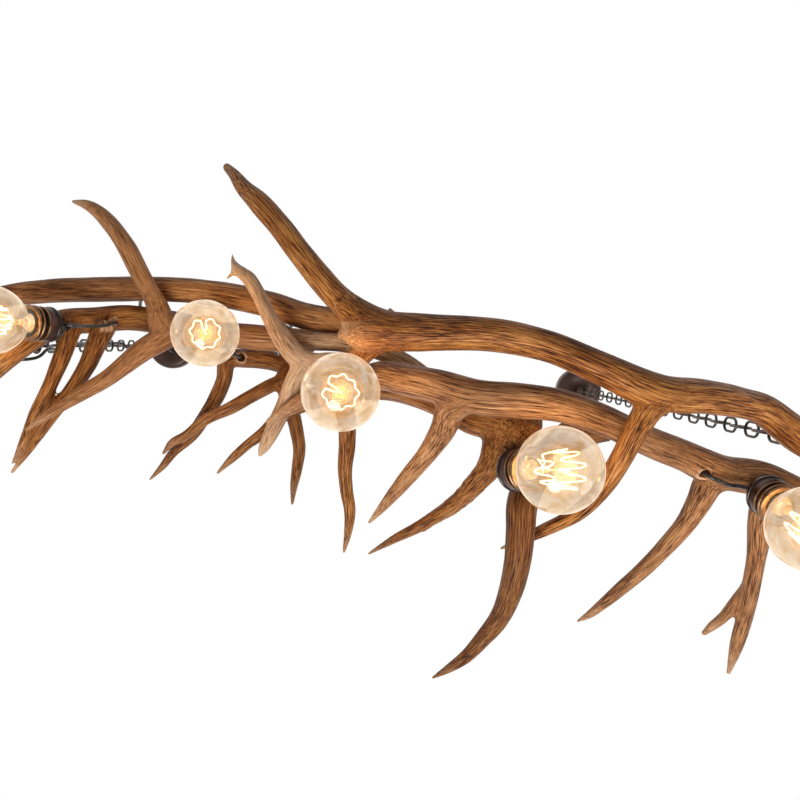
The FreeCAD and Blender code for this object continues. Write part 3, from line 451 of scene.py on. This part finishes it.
def halo_material():
    """The soft bloom round the glowing wire: adds light and hides nothing."""
    material, tree = new_material("wire_bloom")
    edge = add(tree, "ShaderNodeLayerWeight", Blend=0.5).outputs["Facing"]
    fall = ramp(tree, edge, [(0.0, (1.0, 0.60, 0.24)), (0.5, (0.45, 0.25, 0.09)),
                             (0.95, (0.0, 0.0, 0.0))], "EASE")
    glow = add(tree, "ShaderNodeEmission", Color=fall, Strength=0.22)
    clear = add(tree, "ShaderNodeBsdfTransparent", Color=(1.0, 1.0, 1.0, 1.0))
    both = add(tree, "ShaderNodeAddShader", i0=glow.outputs[0], i1=clear.outputs[0])
    shadow = add(tree, "ShaderNodeLightPath").outputs["Is Shadow Ray"]
    output(tree, mix_shader(tree, shadow, both.outputs[0], clear.outputs[0]))
    return material


def hot_material():
    material, tree = new_material("hot_wire")
    uneven = object_noise(tree, 90.0, 2.0)
    colour = ramp(tree, uneven, [(0.3, (1.0, 0.62, 0.28)), (0.6, (1.0, 0.84, 0.58))])
    output(tree, add(tree, "ShaderNodeEmission", Color=colour, Strength=7.0).outputs[0])
    return material


def clear_glass_material():
    material, tree = new_material("stem_glass")
    # the orange emission is painted glow: light from the hot wire caught in the stem glass, not a light of
    # its own
    shade(tree, Base_Color=(1.0, 0.90, 0.74, 1.0), Roughness=0.06, Transmission_Weight=0.9,
          Emission_Color=(1.0, 0.66, 0.32, 1.0), Emission_Strength=0.25,
          Normal=bumped(tree, 0.3, 0.0004, object_noise(tree, 150.0, 2.0)))
    return material


# ---------------------------------------------------------------- mesh helpers
def new_object(name, mesh, material, smooth=True):
    piece = bpy.data.objects.new(name, mesh)
    bpy.context.scene.collection.objects.link(piece)
    mesh.materials.clear()
    mesh.materials.append(material)
    if smooth:
        mesh.polygons.foreach_set("use_smooth", [True] * len(mesh.polygons))
    return piece


def mesh_from(name, verts, faces):
    mesh = bpy.data.meshes.new(name)
    mesh.from_pydata([tuple(v) for v in verts], [], faces)
    mesh.update()
    return mesh


def join_meshes(name, parts):
    """One mesh from several (verts, faces) lists."""
    verts = []
    faces = []
    for part_verts, part_faces in parts:
        base = len(verts)
        verts += [tuple(v) for v in part_verts]
        faces += [tuple(i + base for i in face) for face in part_faces]
    return mesh_from(name, verts, faces)


def rounded_profile(points, bevel):
    """The (r, z) outline with each corner off the axis rounded by three points."""
    result = []
    count = len(points)
    for index, (r, z) in enumerate(points):
        here = Vector((r, z))
        if r < 1e-6:
            result.append((r, z))
            continue
        before = Vector(points[(index - 1) % count])
        after = Vector(points[(index + 1) % count])
        to_before = before - here
        to_after = after - here
        near = min(bevel, to_before.length * 0.4, to_after.length * 0.4)
        a = here + to_before.normalized() * near
        b = here + to_after.normalized() * near
        middle = (a + b) / 2 * 0.45 + here * 0.55
        result += [tuple(a), tuple(middle), tuple(b)]
    return result


def lathe(points, segments=72, closed=True, bevel=0.0003):
    """Verts and faces of an (r, z) outline turned about Z. Metres."""
    outline = rounded_profile(points, bevel) if bevel else list(points)
    verts = []
    faces = []
    count = len(outline)
    for step in range(segments):
        turn = 2 * math.pi * step / segments
        for r, z in outline:
            verts.append((r * math.cos(turn), r * math.sin(turn), z))
    last = count if closed else count - 1
    for step in range(segments):
        follow = (step + 1) % segments
        for index in range(last):
            other = (index + 1) % count
            faces.append((step * count + index, follow * count + index,
                          follow * count + other, step * count + other))
    return verts, faces


def placed(part, matrix):
    verts, faces = part
    return [matrix @ Vector(v) for v in verts], faces


def tidy(mesh):
    """Merges the doubled points on a lathe's axis and points the faces outward."""
    work = bmesh.new()
    work.from_mesh(mesh)
    bmesh.ops.remove_doubles(work, verts=work.verts, dist=1e-7)
    bmesh.ops.dissolve_degenerate(work, edges=work.edges, dist=1e-8)
    bmesh.ops.recalc_face_normals(work, faces=work.faces)
    work.to_mesh(mesh)
    work.free()
    return mesh


def frames_along(centres):
    """A side vector, a second one and the way, at each centre, without twist."""
    result = []
    side = Z.copy()
    for index, centre in enumerate(centres):
        before = centres[max(index - 1, 0)]
        after = centres[min(index + 1, len(centres) - 1)]
        way = (after - before).normalized()
        side = side - way * side.dot(way)
        if side.length < 1e-4:
            side = way.orthogonal()
        side.normalize()
        result.append((side.copy(), way.cross(side).normalized(), way))
    return result


def tube(centres, radii, sides, oval=1.0):
    """Verts and faces of a tube with flat ends, drawn in across one way where oval is below 1."""
    frames = frames_along(centres)
    verts = []
    faces = []
    for centre, radius, (side, other, _) in zip(centres, radii, frames):
        for step in range(sides):
            turn = 2 * math.pi * step / sides
            verts.append(centre + side * radius * math.cos(turn)
                         + other * radius * oval * math.sin(turn))
    for ring in range(len(centres) - 1):
        for step in range(sides):
            follow = (step + 1) % sides
            faces.append((ring * sides + step, ring * sides + follow,
                          (ring + 1) * sides + follow, (ring + 1) * sides + step))
    faces.append(tuple(reversed(range(sides))))
    base = (len(centres) - 1) * sides
    faces.append(tuple(base + step for step in range(sides)))
    return verts, faces


# ---------------------------------------------------------------- antlers
def smooth_route(points):
    """Points every 3 mm or so on a smooth line through a branch's route: x, y, z, radius, in metres."""
    route = np.array(points, float)
    ends = np.vstack([2 * route[0] - route[1], route, 2 * route[-1] - route[-2]])
    result = []
    for index in range(1, len(route)):
        p = ends[index - 1:index + 3]
        t = [0.0]
        for a, b in zip(p, p[1:]):
            t.append(t[-1] + max(np.linalg.norm(b[:3] - a[:3]), 1e-6) ** 0.5)
        count = max(2, int(np.linalg.norm(p[2][:3] - p[1][:3]) / 3.0))
        for k in range(count):
            u = t[1] + (t[2] - t[1]) * k / count
            a1 = p[0] * (t[1] - u) / (t[1] - t[0]) + p[1] * (u - t[0]) / (t[1] - t[0])
            a2 = p[1] * (t[2] - u) / (t[2] - t[1]) + p[2] * (u - t[1]) / (t[2] - t[1])
            a3 = p[2] * (t[3] - u) / (t[3] - t[2]) + p[3] * (u - t[2]) / (t[3] - t[2])
            b1 = a1 * (t[2] - u) / (t[2] - t[0]) + a2 * (u - t[0]) / (t[2] - t[0])
            b2 = a2 * (t[3] - u) / (t[3] - t[1]) + a3 * (u - t[1]) / (t[3] - t[1])
            result.append(b1 * (t[2] - u) / (t[2] - t[1]) + b2 * (u - t[1]) / (t[2] - t[1]))
    result.append(route[-1])
    return np.array(result) / MM


def branch_tube(line):
    """A branch's skin, closed by a rounded tip."""
    centres = [Vector(p[:3]) for p in line]
    radii = [max(p[3], 0.0008) for p in line]
    way = (centres[-1] - centres[-2]).normalized()
    tip = radii[-1]
    for share in (0.5, 0.8, 0.97):
        centres.append(Vector(line[-1][:3]) + way * tip * share)
        radii.append(tip * math.sqrt(1 - share * share))
    return tube(centres, radii, 26, 0.94)


def remeshed(mesh, size):
    """A voxel remesh of a mesh, as a new mesh."""
    holder = bpy.data.objects.new("remesh", mesh)
    bpy.context.scene.collection.objects.link(holder)
    modifier = holder.modifiers.new("voxels", "REMESH")
    modifier.mode = "VOXEL"
    modifier.voxel_size = size
    modifier.use_smooth_shade = True
    graph = bpy.context.evaluated_depsgraph_get()
    result = bpy.data.meshes.new_from_object(holder.evaluated_get(graph))
    bpy.data.objects.remove(holder)
    return result


def neighbours_mean(count, edges, values):
    """The mean of each point's neighbours' values."""
    total = np.zeros_like(values)
    number = np.zeros(count)
    np.add.at(total, edges[:, 0], values[edges[:, 1]])
    np.add.at(total, edges[:, 1], values[edges[:, 0]])
    np.add.at(number, edges[:, 0], 1)
    np.add.at(number, edges[:, 1], 1)
    return total / np.maximum(number, 1)[:, None]


def smoothstep(low, high, value):
    part = np.clip((value - low) / (high - low), 0, 1)
    return part * part * (3 - 2 * part)


def nearest_on(line, frames, points):
    """For each point: the nearest place on a branch, its distance past the skin, and its
    straightened coordinates."""
    centres = line[:, :3]
    steps = np.linalg.norm(np.diff(centres, axis=0), axis=1)
    run = np.concatenate([[0], np.cumsum(steps)])
    side = np.array([f[0] for f in frames])
    other = np.array([f[1] for f in frames])
    way = np.array([f[2] for f in frames])
    best = np.empty(len(points), int)
    for start in range(0, len(points), 4000):
        block = points[start:start + 4000]
        gap = np.linalg.norm(block[:, None, :] - centres[None], axis=2) - line[None, :, 3]
        best[start:start + 4000] = gap.argmin(axis=1)
    offset = points - centres[best]
    depth = np.linalg.norm(offset, axis=1) - line[best, 3]
    x = (offset * side[best]).sum(1)
    y = (offset * other[best]).sum(1)
    z = run[best] + (offset * way[best]).sum(1)
    return depth, np.stack([x, y, z], 1), run[-1] - z, line[best, 3]


def read_all(items, key, width, kind=float):
    """One property of all of a mesh's items, in rows."""
    values = np.empty(len(items) * width, kind)
    items.foreach_get(key, values)
    return values.reshape(-1, width)


def lumpy(points, scale):
    return np.array([noise.noise((x * scale, y * scale, z * scale)) for x, y, z in points])


def flutes(coords):
    """The height of the flutes along the growth, from straightened coordinates."""
    result = np.empty(len(coords))
    for index, (x, y, z) in enumerate(coords):
        wide = noise.noise((x * 105, y * 105, z * 7))
        thin = noise.noise((x * 260, y * 260, z * 15))
        result[index] = 0.6 * wide + 0.75 * (0.35 - abs(thin))
    return result


def make_antler(name, branches, material):
    """One antler: its branches joined and filleted, with relief, wear and drilled holes."""
    lines = [smooth_route(points) for points in branches.values()]
    frames = [frames_along([Vector(p[:3]) for p in line]) for line in lines]
    rough = join_meshes(name + "_raw", [branch_tube(line) for line in lines])
    mesh = remeshed(rough, VOXEL)
    count = len(mesh.vertices)
    points = read_all(mesh.vertices, "co", 3)
    edges = read_all(mesh.edges, "vertices", 2, int)

    # fillets where tines leave the beam
    def near_all(spots):
        return [nearest_on(line, frame, spots) for line, frame in zip(lines, frames)]

    found = near_all(points)
    depths = np.stack([f[0] for f in found], 1)
    if len(lines) > 1:
        order = np.sort(depths, axis=1)
        crotch = np.exp(-((order[:, 1] - order[:, 0]) / FILLET_REACH) ** 2)
        for _ in range(FILLET_ROUNDS):
            mean = neighbours_mean(count, edges, points)
            points = points + (mean - points) * 0.6 * crotch[:, None]
    for _ in range(3):
        points = points + (neighbours_mean(count, edges, points) - points) * 0.25

    found = near_all(points)
    depths = np.stack([f[0] for f in found], 1)
    first = depths.argmin(1)
    rows = np.arange(count)
    masked = depths.copy()
    masked[rows, first] = 9.0
    second = masked.argmin(1) if len(lines) > 1 else first
    coords = np.stack([f[1] for f in found], 1)
    to_tip = np.stack([f[2] for f in found], 1)
    girth = np.stack([f[3] for f in found], 1)
    shift = np.arange(len(lines))[:, None] * np.array([0.173, 0.091, 0.411]) + len(name) * 0.037
    coords = coords + shift[None]
    gap = depths[rows, second] - depths[rows, first]
    share = np.clip(0.5 + gap / 0.016, 0.5, 1.0) if len(lines) > 1 else np.ones(count)

    # relief: flutes along the growth, lumps, and knobs at the burr
    mesh.vertices.foreach_set("co", points.ravel())
    mesh.update()
    normals = read_all(mesh.vertices, "normal", 3)
    relief = flutes(coords[rows, first]) * share + flutes(coords[rows, second]) * (1 - share)
    end_run = to_tip[rows, first]
    worn = smoothstep(0.004, 0.060, end_run)
    lumps = lumpy(points, 22)
    amount = 0.00062 * relief * (0.2 + 0.8 * worn) + 0.0009 * lumps * worn
    if name in BURRS:
        beam_length = np.linalg.norm(np.diff(lines[0][:, :3], axis=0), axis=1).sum()
        from_base = beam_length - to_tip[:, 0]
        reach = BURRS[name] / MM
        knob = np.exp(-((from_base - reach * 0.12) / (reach * 0.22)) ** 2)
        pearl = np.exp(-((from_base - reach * 0.12) / (reach * 1.1)) ** 2)
        angle = np.arctan2(coords[:, 0, 1] - shift[0, 1], coords[:, 0, 0] - shift[0, 0])
        bead = np.abs(np.sin(angle * 9 + 1.4 * np.sin(angle * 2))) ** 0.7 - 0.55
        scale = girth[:, 0].clip(0.012, 0.04)
        fine = lumpy(points, 150)
        amount = amount + scale * (0.20 * bead * knob + 0.035 * fine * pearl)
        relief = relief + 1.2 * bead * knob + 0.4 * fine * pearl
    points = points + normals * amount[:, None]

    # paler tips and hole rims, and a raised lip round each hole
    pale = np.clip(PALE.get(name, 0.0), 0, 1) * 0.85 + 0.40 * (1 - smoothstep(0.003, 0.055, end_run))
    # a below-zero PALE darkens the whole antler: partly darker stain, partly painted shade
    dark = np.full(count, max(0.0, -PALE.get(name, 0.0)))
    calm = CALM.get(name, 0.15) + 0.35 * (1 - smoothstep(0.010, 0.060, end_run))
    holes = [hole[1:] for hole in LEAD_HOLES if hole[0] == name]
    for deep, mouth, wide in holes:
        wide = wide / MM
        start = np.array(deep) / MM
        out = np.array(mouth) / MM - start
        out /= np.linalg.norm(out)
        offset = points - start
        off = np.linalg.norm(offset - (offset @ out)[:, None] * out, axis=1)
        ahead = offset @ out > 0
        rim = 0.9 * (1 - smoothstep(wide + 0.001, wide + 0.005, off))
        pale = np.where(ahead, np.maximum(pale, rim), pale)
        lip = np.where(ahead, LIP_WIDTH * np.exp(-((off - wide - 0.002) / LIP_WIDTH) ** 2), 0.0)
        points = points + normals * lip[:, None]
    mesh.vertices.foreach_set("co", points.ravel())
    for key, values in (("grain_share", share), ("relief", relief), ("pale", np.clip(pale, 0, 1)),
                        ("dark", dark), ("calm", calm)):
        layer = mesh.attributes.new(key, "FLOAT", "POINT")
        layer.data.foreach_set("value", values.astype(np.float32))
    for key, index in (("grain_a", first), ("grain_b", second)):
        layer = mesh.attributes.new(key, "FLOAT_VECTOR", "POINT")
        layer.data.foreach_set("vector", coords[rows, index].astype(np.float32).ravel())
    mesh.update()

    piece = new_object(name + "_skin", mesh, material)
    for deep, mouth, wide in holes:
        drill(piece, Vector(deep) / MM, Vector(mouth) / MM, wide / MM)
    return piece


def drill(piece, deep, mouth, wide):
    """Cuts a drilled hole into a piece, or says so and leaves the piece whole where that spoils it."""
    way = (mouth - deep).normalized()
    cutter_mesh = mesh_from("cutter", *tube([deep, mouth + way * HOLE_PASS], [wide, wide], 28))
    cutter = bpy.data.objects.new("cutter", cutter_mesh)
    bpy.context.scene.collection.objects.link(cutter)
    modifier = piece.modifiers.new("hole", "BOOLEAN")
    modifier.operation = "DIFFERENCE"
    modifier.object = cutter
    modifier.solver = "EXACT"
    graph = bpy.context.evaluated_depsgraph_get()
    result = bpy.data.meshes.new_from_object(piece.evaluated_get(graph))
    piece.modifiers.clear()
    bpy.data.objects.remove(cutter)
    if len(result.vertices) < 0.9 * len(piece.data.vertices):
        print("hole not cut in", piece.name, "vertices", len(piece.data.vertices), len(result.vertices))
        return
    piece.data = result
    result.polygons.foreach_set("use_smooth", [True] * len(result.polygons))


# ---------------------------------------------------------------- making: materials
steel = metal_material("plain_steel", (0.30, 0.30, 0.30), (0.62, 0.61, 0.60), 0.35, 1.0, 90)
brown = metal_material("canopy_brown", (0.050, 0.022, 0.014), (0.085, 0.040, 0.026), 0.42, 0.35, 22,
                       0.0001, 0.15)
dark_metal = metal_material("chain_dark", (0.030, 0.022, 0.018), (0.15, 0.115, 0.095), 0.36, 0.9, 130,
                            0.0002)
copper = metal_material("holder_copper", (0.13, 0.065, 0.032), (0.40, 0.220, 0.110), 0.30, 0.9, 120,
                        0.0001)
cup_brown = metal_material("holder_brown", (0.035, 0.018, 0.013), (0.10, 0.054, 0.039), 0.34, 0.7, 70)
dark_gloss = metal_material("holder_dark", (0.012, 0.008, 0.007), (0.040, 0.022, 0.016), 0.24, 0.6, 80,
                            0.0001, 0.4)
brass = metal_material("cap_brass", (0.42, 0.27, 0.12), (0.75, 0.55, 0.30), 0.3, 1.0, 200)
black = plastic_material("black_plastic", (0.010, 0.010, 0.010), (0.030, 0.028, 0.027), 0.42)
cable_black = plastic_material("cable_black", (0.012, 0.011, 0.011), (0.045, 0.043, 0.042), 0.24)
rubber = plastic_material("black_rubber", (0.010, 0.010, 0.010), (0.025, 0.025, 0.025), 0.7)
pale_plastic = plastic_material("pale_plastic", (0.62, 0.60, 0.55), (0.78, 0.76, 0.71), 0.5)
antler_skin = antler_material()
glass = glass_material()
halo = halo_material()
hot = hot_material()
stem_glass = clear_glass_material()


def dress(node, material):
    """A better material for a CAD node that stays."""
    thing = frame["nodes"][node]
    thing.data.materials.clear()
    thing.data.materials.append(material)


for material, nodes in (
        (steel, ("ceiling_bracket_left", "ceiling_bracket_right", "hook_nuts", "joining_screws",
                 "lamp_nipples")),
        (pale_plastic, ("terminal_block",)), (rubber, ("cable_grommet",)),
        (cable_black, ("cable_top", "cable_chain", "cable_bottom", "lamp_leads")),
        (black, ("holder_inserts",)), (brown, ("canopy_nuts",))):
    for node in nodes:
        dress(node, material)

# ---------------------------------------------------------------- making: antlers
for name, branches in ANTLERS.items():
    piece = make_antler(name, branches, antler_skin)
    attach(piece, "fixture")
    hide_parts(name)

# ---------------------------------------------------------------- making: ceiling parts and chains
HOOK_SPACING = 1.084
HOOK_EYE = -0.04905
HOOK_RADIUS = 0.01325
HOOK_WIRE = 0.00275
TOP_LINK = -0.07435
LINK_BOW = 0.0105
LINK_HALF = 0.0065
LINK_WIRE = 0.002


def arc_points(r, z, radius, start, end, steps=8):
    """(r, z) points on an arc, angles in degrees from the r axis."""
    result = []
    for step in range(steps + 1):
        turn = math.radians(start + (end - start) * step / steps)
        result.append((r + radius * math.cos(turn), z + radius * math.sin(turn)))
    return result


def canopy_part():
    outer = [(0.0052, -0.028)] + arc_points(0.048, -0.016, 0.012, -90, 0)
    outer += [(0.060, -0.0004), (0.0596, 0)]
    inner = [(0.0588, 0)] + arc_points(0.048, -0.016, 0.0108, 0, -90) + [(0.0052, -0.0268)]
    return lathe(outer + inner, 128, True, 0)


def ring_centres(centre, u, v, radius, start, end, steps):
    points = []
    for step in range(steps + 1):
        turn = math.radians(start + (end - start) * step / steps)
        points.append(centre + u * radius * math.cos(turn) + v * radius * math.sin(turn))
    return points


def closed_tube(points, outs, normal, radii, sides):
    """Verts and faces of a tube that closes on itself, in a plane with this normal."""
    count = len(points)
    verts = []
    faces = []
    for point, out, radius in zip(points, outs, radii):
        for step in range(sides):
            turn = 2 * math.pi * step / sides
            verts.append(point + out * radius * math.cos(turn) + normal * radius * math.sin(turn))
    for index in range(count):
        for step in range(sides):
            a = index * sides + step
            b = index * sides + (step + 1) % sides
            c = (index + 1) % count * sides + (step + 1) % sides
            d = (index + 1) % count * sides + step
            faces.append((a, b, c, d))
    return verts, faces


def link_part(centre, u):
    """One oval link, wide along u, with a small weld bead on one side."""
    bow = u * LINK_BOW
    points = ring_centres(centre + Z * LINK_HALF, u, Z, LINK_BOW, 0, 180, 18)
    points += ring_centres(centre - Z * LINK_HALF, u, Z, LINK_BOW, 180, 360, 18)
    count = len(points)
    normal = u.cross(Z)
    outs = [(points[(n + 1) % count] - points[n - 1]).normalized().cross(normal) for n in range(count)]
    radii = [LINK_WIRE + 0.00028 * math.exp(-((point - centre + bow).length / 0.0022) ** 2)
             for point in points]
    return closed_tube(points, outs, normal, radii, 14)


def add_piece(name, parts, material, slot, body, *nodes):
    """A piece of several parts that rides on a body, and the CAD nodes it stands in for."""
    mesh = tidy(join_meshes(name, parts))
    piece = new_object(name, mesh, material)
    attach(piece, body)
    if nodes:
        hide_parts(*nodes)


FIRST_LINK = -0.10415
LINK_PITCH = 0.0298
for side, x, count in (("left", 0.0, 21), ("right", HOOK_SPACING, 28)):
    here = Vector((x, 0, 0))
    add_piece("canopy_skin_" + side, [placed(canopy_part(), Matrix.Translation(here))], brown,
              "brown_metal", "ceiling", "canopy_" + side)

    eye = here + Z * HOOK_EYE
    shank = tube([here + Z * -0.0355, here + Z * -0.0025], [0.005, 0.005], 40)
    loop = ring_centres(eye, X, Z, HOOK_RADIUS, 0, 360, 56)[:-1]
    outs = [(point - eye).normalized() for point in loop]
    ring = closed_tube(loop, outs, Y, [HOOK_WIRE] * len(loop), 18)
    add_piece("hook_ring_" + side, [shank, ring], dark_metal, "dark_metal", "ceiling", "hook_" + side)
    add_piece("top_link_" + side + "_skin", [link_part(here + Z * TOP_LINK, Y)], dark_metal,
              "dark_metal", "hangers", "top_link_" + side)
    links = [link_part(here + Z * (FIRST_LINK - LINK_PITCH * n), Y if n % 2 else X)
             for n in range(count)]
    add_piece("chain_links_" + side, links, dark_metal, "dark_metal",
              "chain_%s_body" % side, "chain_" + side)
    dress("eye_screw_" + side, dark_metal)

# ---------------------------------------------------------------- making: lamps
def lamp_matrix(name):
    globe, toward = LAMPS[name]
    return Matrix.Translation(Vector(globe) / MM) @ \
        Vector(toward).normalized().to_track_quat("Z", "Y").to_matrix().to_4x4()


def globe_profile():
    neck = []
    shoulder = math.sqrt(GLOBE ** 2 - NECK_START ** 2)
    for step in range(9):
        part = step / 8
        neck.append((shoulder + (NECK_RADIUS - shoulder) * (1 - (1 - part) ** 2),
                     NECK_START + 0.016 * part))
    start = math.degrees(math.asin(NECK_START / GLOBE))
    ball = arc_points(0, 0, GLOBE, -90, start, 44)
    ball[0] = (0.0, -GLOBE)
    return ball + neck[1:] + [(0.0128, 0.0656)]


def filament_lines():
    """The zigzag cage: rounded hairpins between two circles, and its two leads."""
    points = []
    samples = CAGE_TURNS * 24
    for step in range(samples + 1):
        part = step / samples
        turn = CAGE_SWEEP * part
        wave = math.cos(2 * math.pi * CAGE_TURNS * part)
        height = 0.0190 * math.copysign(abs(wave) ** 0.62, wave)
        radius = 0.0200 - 0.0012 * wave + 0.0008 * math.sin(2 * math.pi * 2.5 * part)
        points.append(Vector((radius * math.cos(turn), radius * math.sin(turn), height)))
    return [points,
            [points[0], Vector((0.008, 0.001, 0.024)), Vector((0.0030, 0, 0.034))],
            [points[-1], Vector((0.006, -0.004, 0.022)), Vector((-0.0030, 0, 0.034))]]


def cage_supports():
    """Thin hooks that hold the cage from the glass stem, above and below."""
    parts = []
    for end in (1, -1):
        hub = Vector((0, 0, 0.0235 if end > 0 else -0.0215))
        for step in range(5):
            turn = CAGE_SWEEP * (step * 2 + (0 if end > 0 else 1)) / 9.6
            tip = Vector((0.0195 * math.cos(turn), 0.0195 * math.sin(turn), 0.0188 * end))
            middle = (hub + tip) / 2 + Vector((0, 0, 0.002 * end))
            parts.append(tube([hub, middle, tip], [HOOK_WIRE_RADIUS] * 3, 6))
    return parts


def stem_profile():
    return [(0, -0.0225), (0.0012, -0.0222), (0.0016, -0.0205), (0.0013, -0.018), (0.0013, 0.018),
            (0.0022, 0.022), (0.0032, 0.0255), (0.0034, 0.034), (0.0040, 0.042), (0.0062, 0.050),
            (0.0100, 0.0562), (0.0120, 0.0585), (0.0120, 0.0600), (0, 0.0600)]


def cap_profile():
    points = [(0.0104, 0.066), (0.0130, 0.066)]
    for turn in range(4):
        low = 0.068 + 0.0036 * turn
        for step in range(6):
            wave = math.cos(2 * math.pi * step / 6)
            points.append((0.0124 + 0.0006 * wave, low + 0.0036 * step / 6))
    points += [(0.0130, 0.0826), (0.008, 0.087), (0.004, 0.087), (0.004, 0.0898), (0, 0.0900),
               (0, 0.084), (0.0074, 0.084), (0.0104, 0.081)]
    return points


CUP_LIP = [(0.01955, 0.0730), (0.0255, 0.0730), (0.0259, 0.0737), (0.0259, 0.0748), (0.0255, 0.0754),
           (0.0240, 0.0754), (0.0240, 0.0745), (0.01955, 0.0745)]
CUP = [(0.0240, 0.0754), (0.0254, 0.0754), (0.0254, 0.0885), (0.0240, 0.0885)]


def back_outline():
    """The flange and the dome behind the cup."""
    outside = []
    inside = []
    for step in range(13):
        part = 1 - (1 - step / 12) ** 2
        radius = 0.009 + 0.015 * math.sqrt(max(0.0, 1 - part ** 2))
        outside.append((radius, 0.0915 + 0.0185 * part))
        inside.append((max(radius - 0.0015, 0.00505), 0.0915 + 0.0170 * part))
    rim = [(0.0225, 0.0885), (0.0265, 0.0885), (0.0265, 0.0915)]
    return rim + outside[1:] + [(0.009, 0.120), (0.00505, 0.120)] + inside[::-1]


RING = [(0.01955, 0.0), (0.0255, 0.0), (0.0265, 0.0010), (0.0265, 0.0026), (0.0255, 0.0036),
        (0.01955, 0.0036)]

rings = []
backs = []
for name in LAMPS:
    matrix = lamp_matrix(name)
    bulb = "bulb_" + name

    def turned(outline, segments, closed=True, bevel=0):
        """An outline turned about this lamp's axis."""
        return placed(lathe(outline, segments, closed, bevel), matrix)

    add_piece("globe_" + name, [turned(globe_profile(), 96, False)], glass, "amber_glass", bulb,
              "bulb_glass_" + name)
    add_piece("stem_" + name, [turned(stem_profile(), 40, False)], stem_glass, "amber_glass", bulb)
    wires = [placed(tube(line, [WIRE_RADIUS] * len(line), 8), matrix) for line in filament_lines()]
    add_piece("wire_" + name, wires, hot, "hot_wire", bulb, "bulb_filament_" + name)
    hooks = [placed(part, matrix) for part in cage_supports()]
    add_piece("wire_hooks_" + name, hooks, steel, "hot_wire", bulb)
    bloom = arc_points(0, 0, BLOOM_RADIUS, -90, 90, 30)
    add_piece("bloom_" + name, [turned(bloom, 48, False)], halo, "hot_wire", bulb)
    add_piece("screw_cap_" + name, [turned(cap_profile(), 64)], brass, "cap_metal", bulb,
              "bulb_cap_" + name)
    add_piece("holder_cup_" + name, [turned(CUP, 96, True, 0.0003)], cup_brown, "copper_brown",
              "fixture", "lampholder_" + name)
    rings.append(turned(CUP_LIP, 96, True, 0.0002))
    backs.append(turned(back_outline(), 96))
    for start in RING_STARTS:
        rings.append(turned([(r, z + start) for r, z in RING], 96, True, 0.0004))
add_piece("holder_backs", backs, dark_gloss, "copper_brown", "fixture", "holder_caps")
add_piece("holder_rings", rings, copper, "copper_brown", "fixture", "shade_rings")

# ---------------------------------------------------------------- stage, lights, world
FLOOR = -2.45
corners = [(x, y, FLOOR) for x, y in ((-6, -6), (7, -6), (7, 6), (-6, 6))]
floor_mesh = mesh_from("floor", corners, [(0, 1, 2, 3)])
floor_material, tree = new_material("pale_floor")
grain = add(tree, "ShaderNodeTexNoise", Scale=3.0, Detail=3.0)
tone = ramp(tree, grain.outputs[0], [(0.3, (0.80, 0.80, 0.80)), (0.7, (0.84, 0.84, 0.84))])
cover = add(tree, "ShaderNodeBsdfDiffuse", Color=tone)
clear = add(tree, "ShaderNodeBsdfTransparent")
back = add(tree, "ShaderNodeNewGeometry").outputs["Backfacing"]
output(tree, mix_shader(tree, back, cover.outputs[0], clear.outputs[0]))
floor = new_object("floor", floor_mesh, floor_material, False)

world = bpy.data.worlds.new("world")
bpy.context.scene.world = world
world.use_nodes = True
tree = world.node_tree
tree.nodes.clear()
rays = add(tree, "ShaderNodeLightPath")
seen = math_node(tree, "MAXIMUM", rays.outputs["Is Camera Ray"],
                 math_node(tree, "MAXIMUM", rays.outputs["Is Glossy Ray"],
                           rays.outputs["Is Transmission Ray"]))
# the world is white to the eye and lights the part at about a third of that
level = scaled(tree, seen, 0.66, 0.34)
shell = add(tree, "ShaderNodeBackground", Color=(1.0, 1.0, 1.0, 1.0), Strength=level)
add(tree, "ShaderNodeOutputWorld", Surface=shell.outputs[0])


def add_light(name, kind, power, place, colour):
    data = bpy.data.lights.new(name, kind)
    data.energy = power
    data.color = colour
    lamp = bpy.data.objects.new(name, data)
    bpy.context.scene.collection.objects.link(lamp)
    lamp.location = place
    return data, lamp


for name, place, target, size, power in (
        ("key", (0.2, 0.9, -2.2), (0.5, 0, -0.85), 0.9, 22),
        ("side", (2.2, 0.8, -1.8), (0.7, 0, -0.9), 1.0, 8)):
    data, lamp = add_light(name, "AREA", power, place, (1, 1, 1))
    data.shape = "DISK"
    data.size = size
    lamp.rotation_mode = "QUATERNION"
    lamp.rotation_quaternion = (Vector(target) - Vector(place)).to_track_quat("-Z", "Y")
for name, (globe, _) in LAMPS.items():
    data, lamp = add_light("bulb_light_" + name, "POINT", 0.32, Vector(globe) / MM, (1.0, 0.76, 0.48))
    data.shadow_soft_size = 0.02

bpy.context.scene.view_settings.view_transform = "Standard"
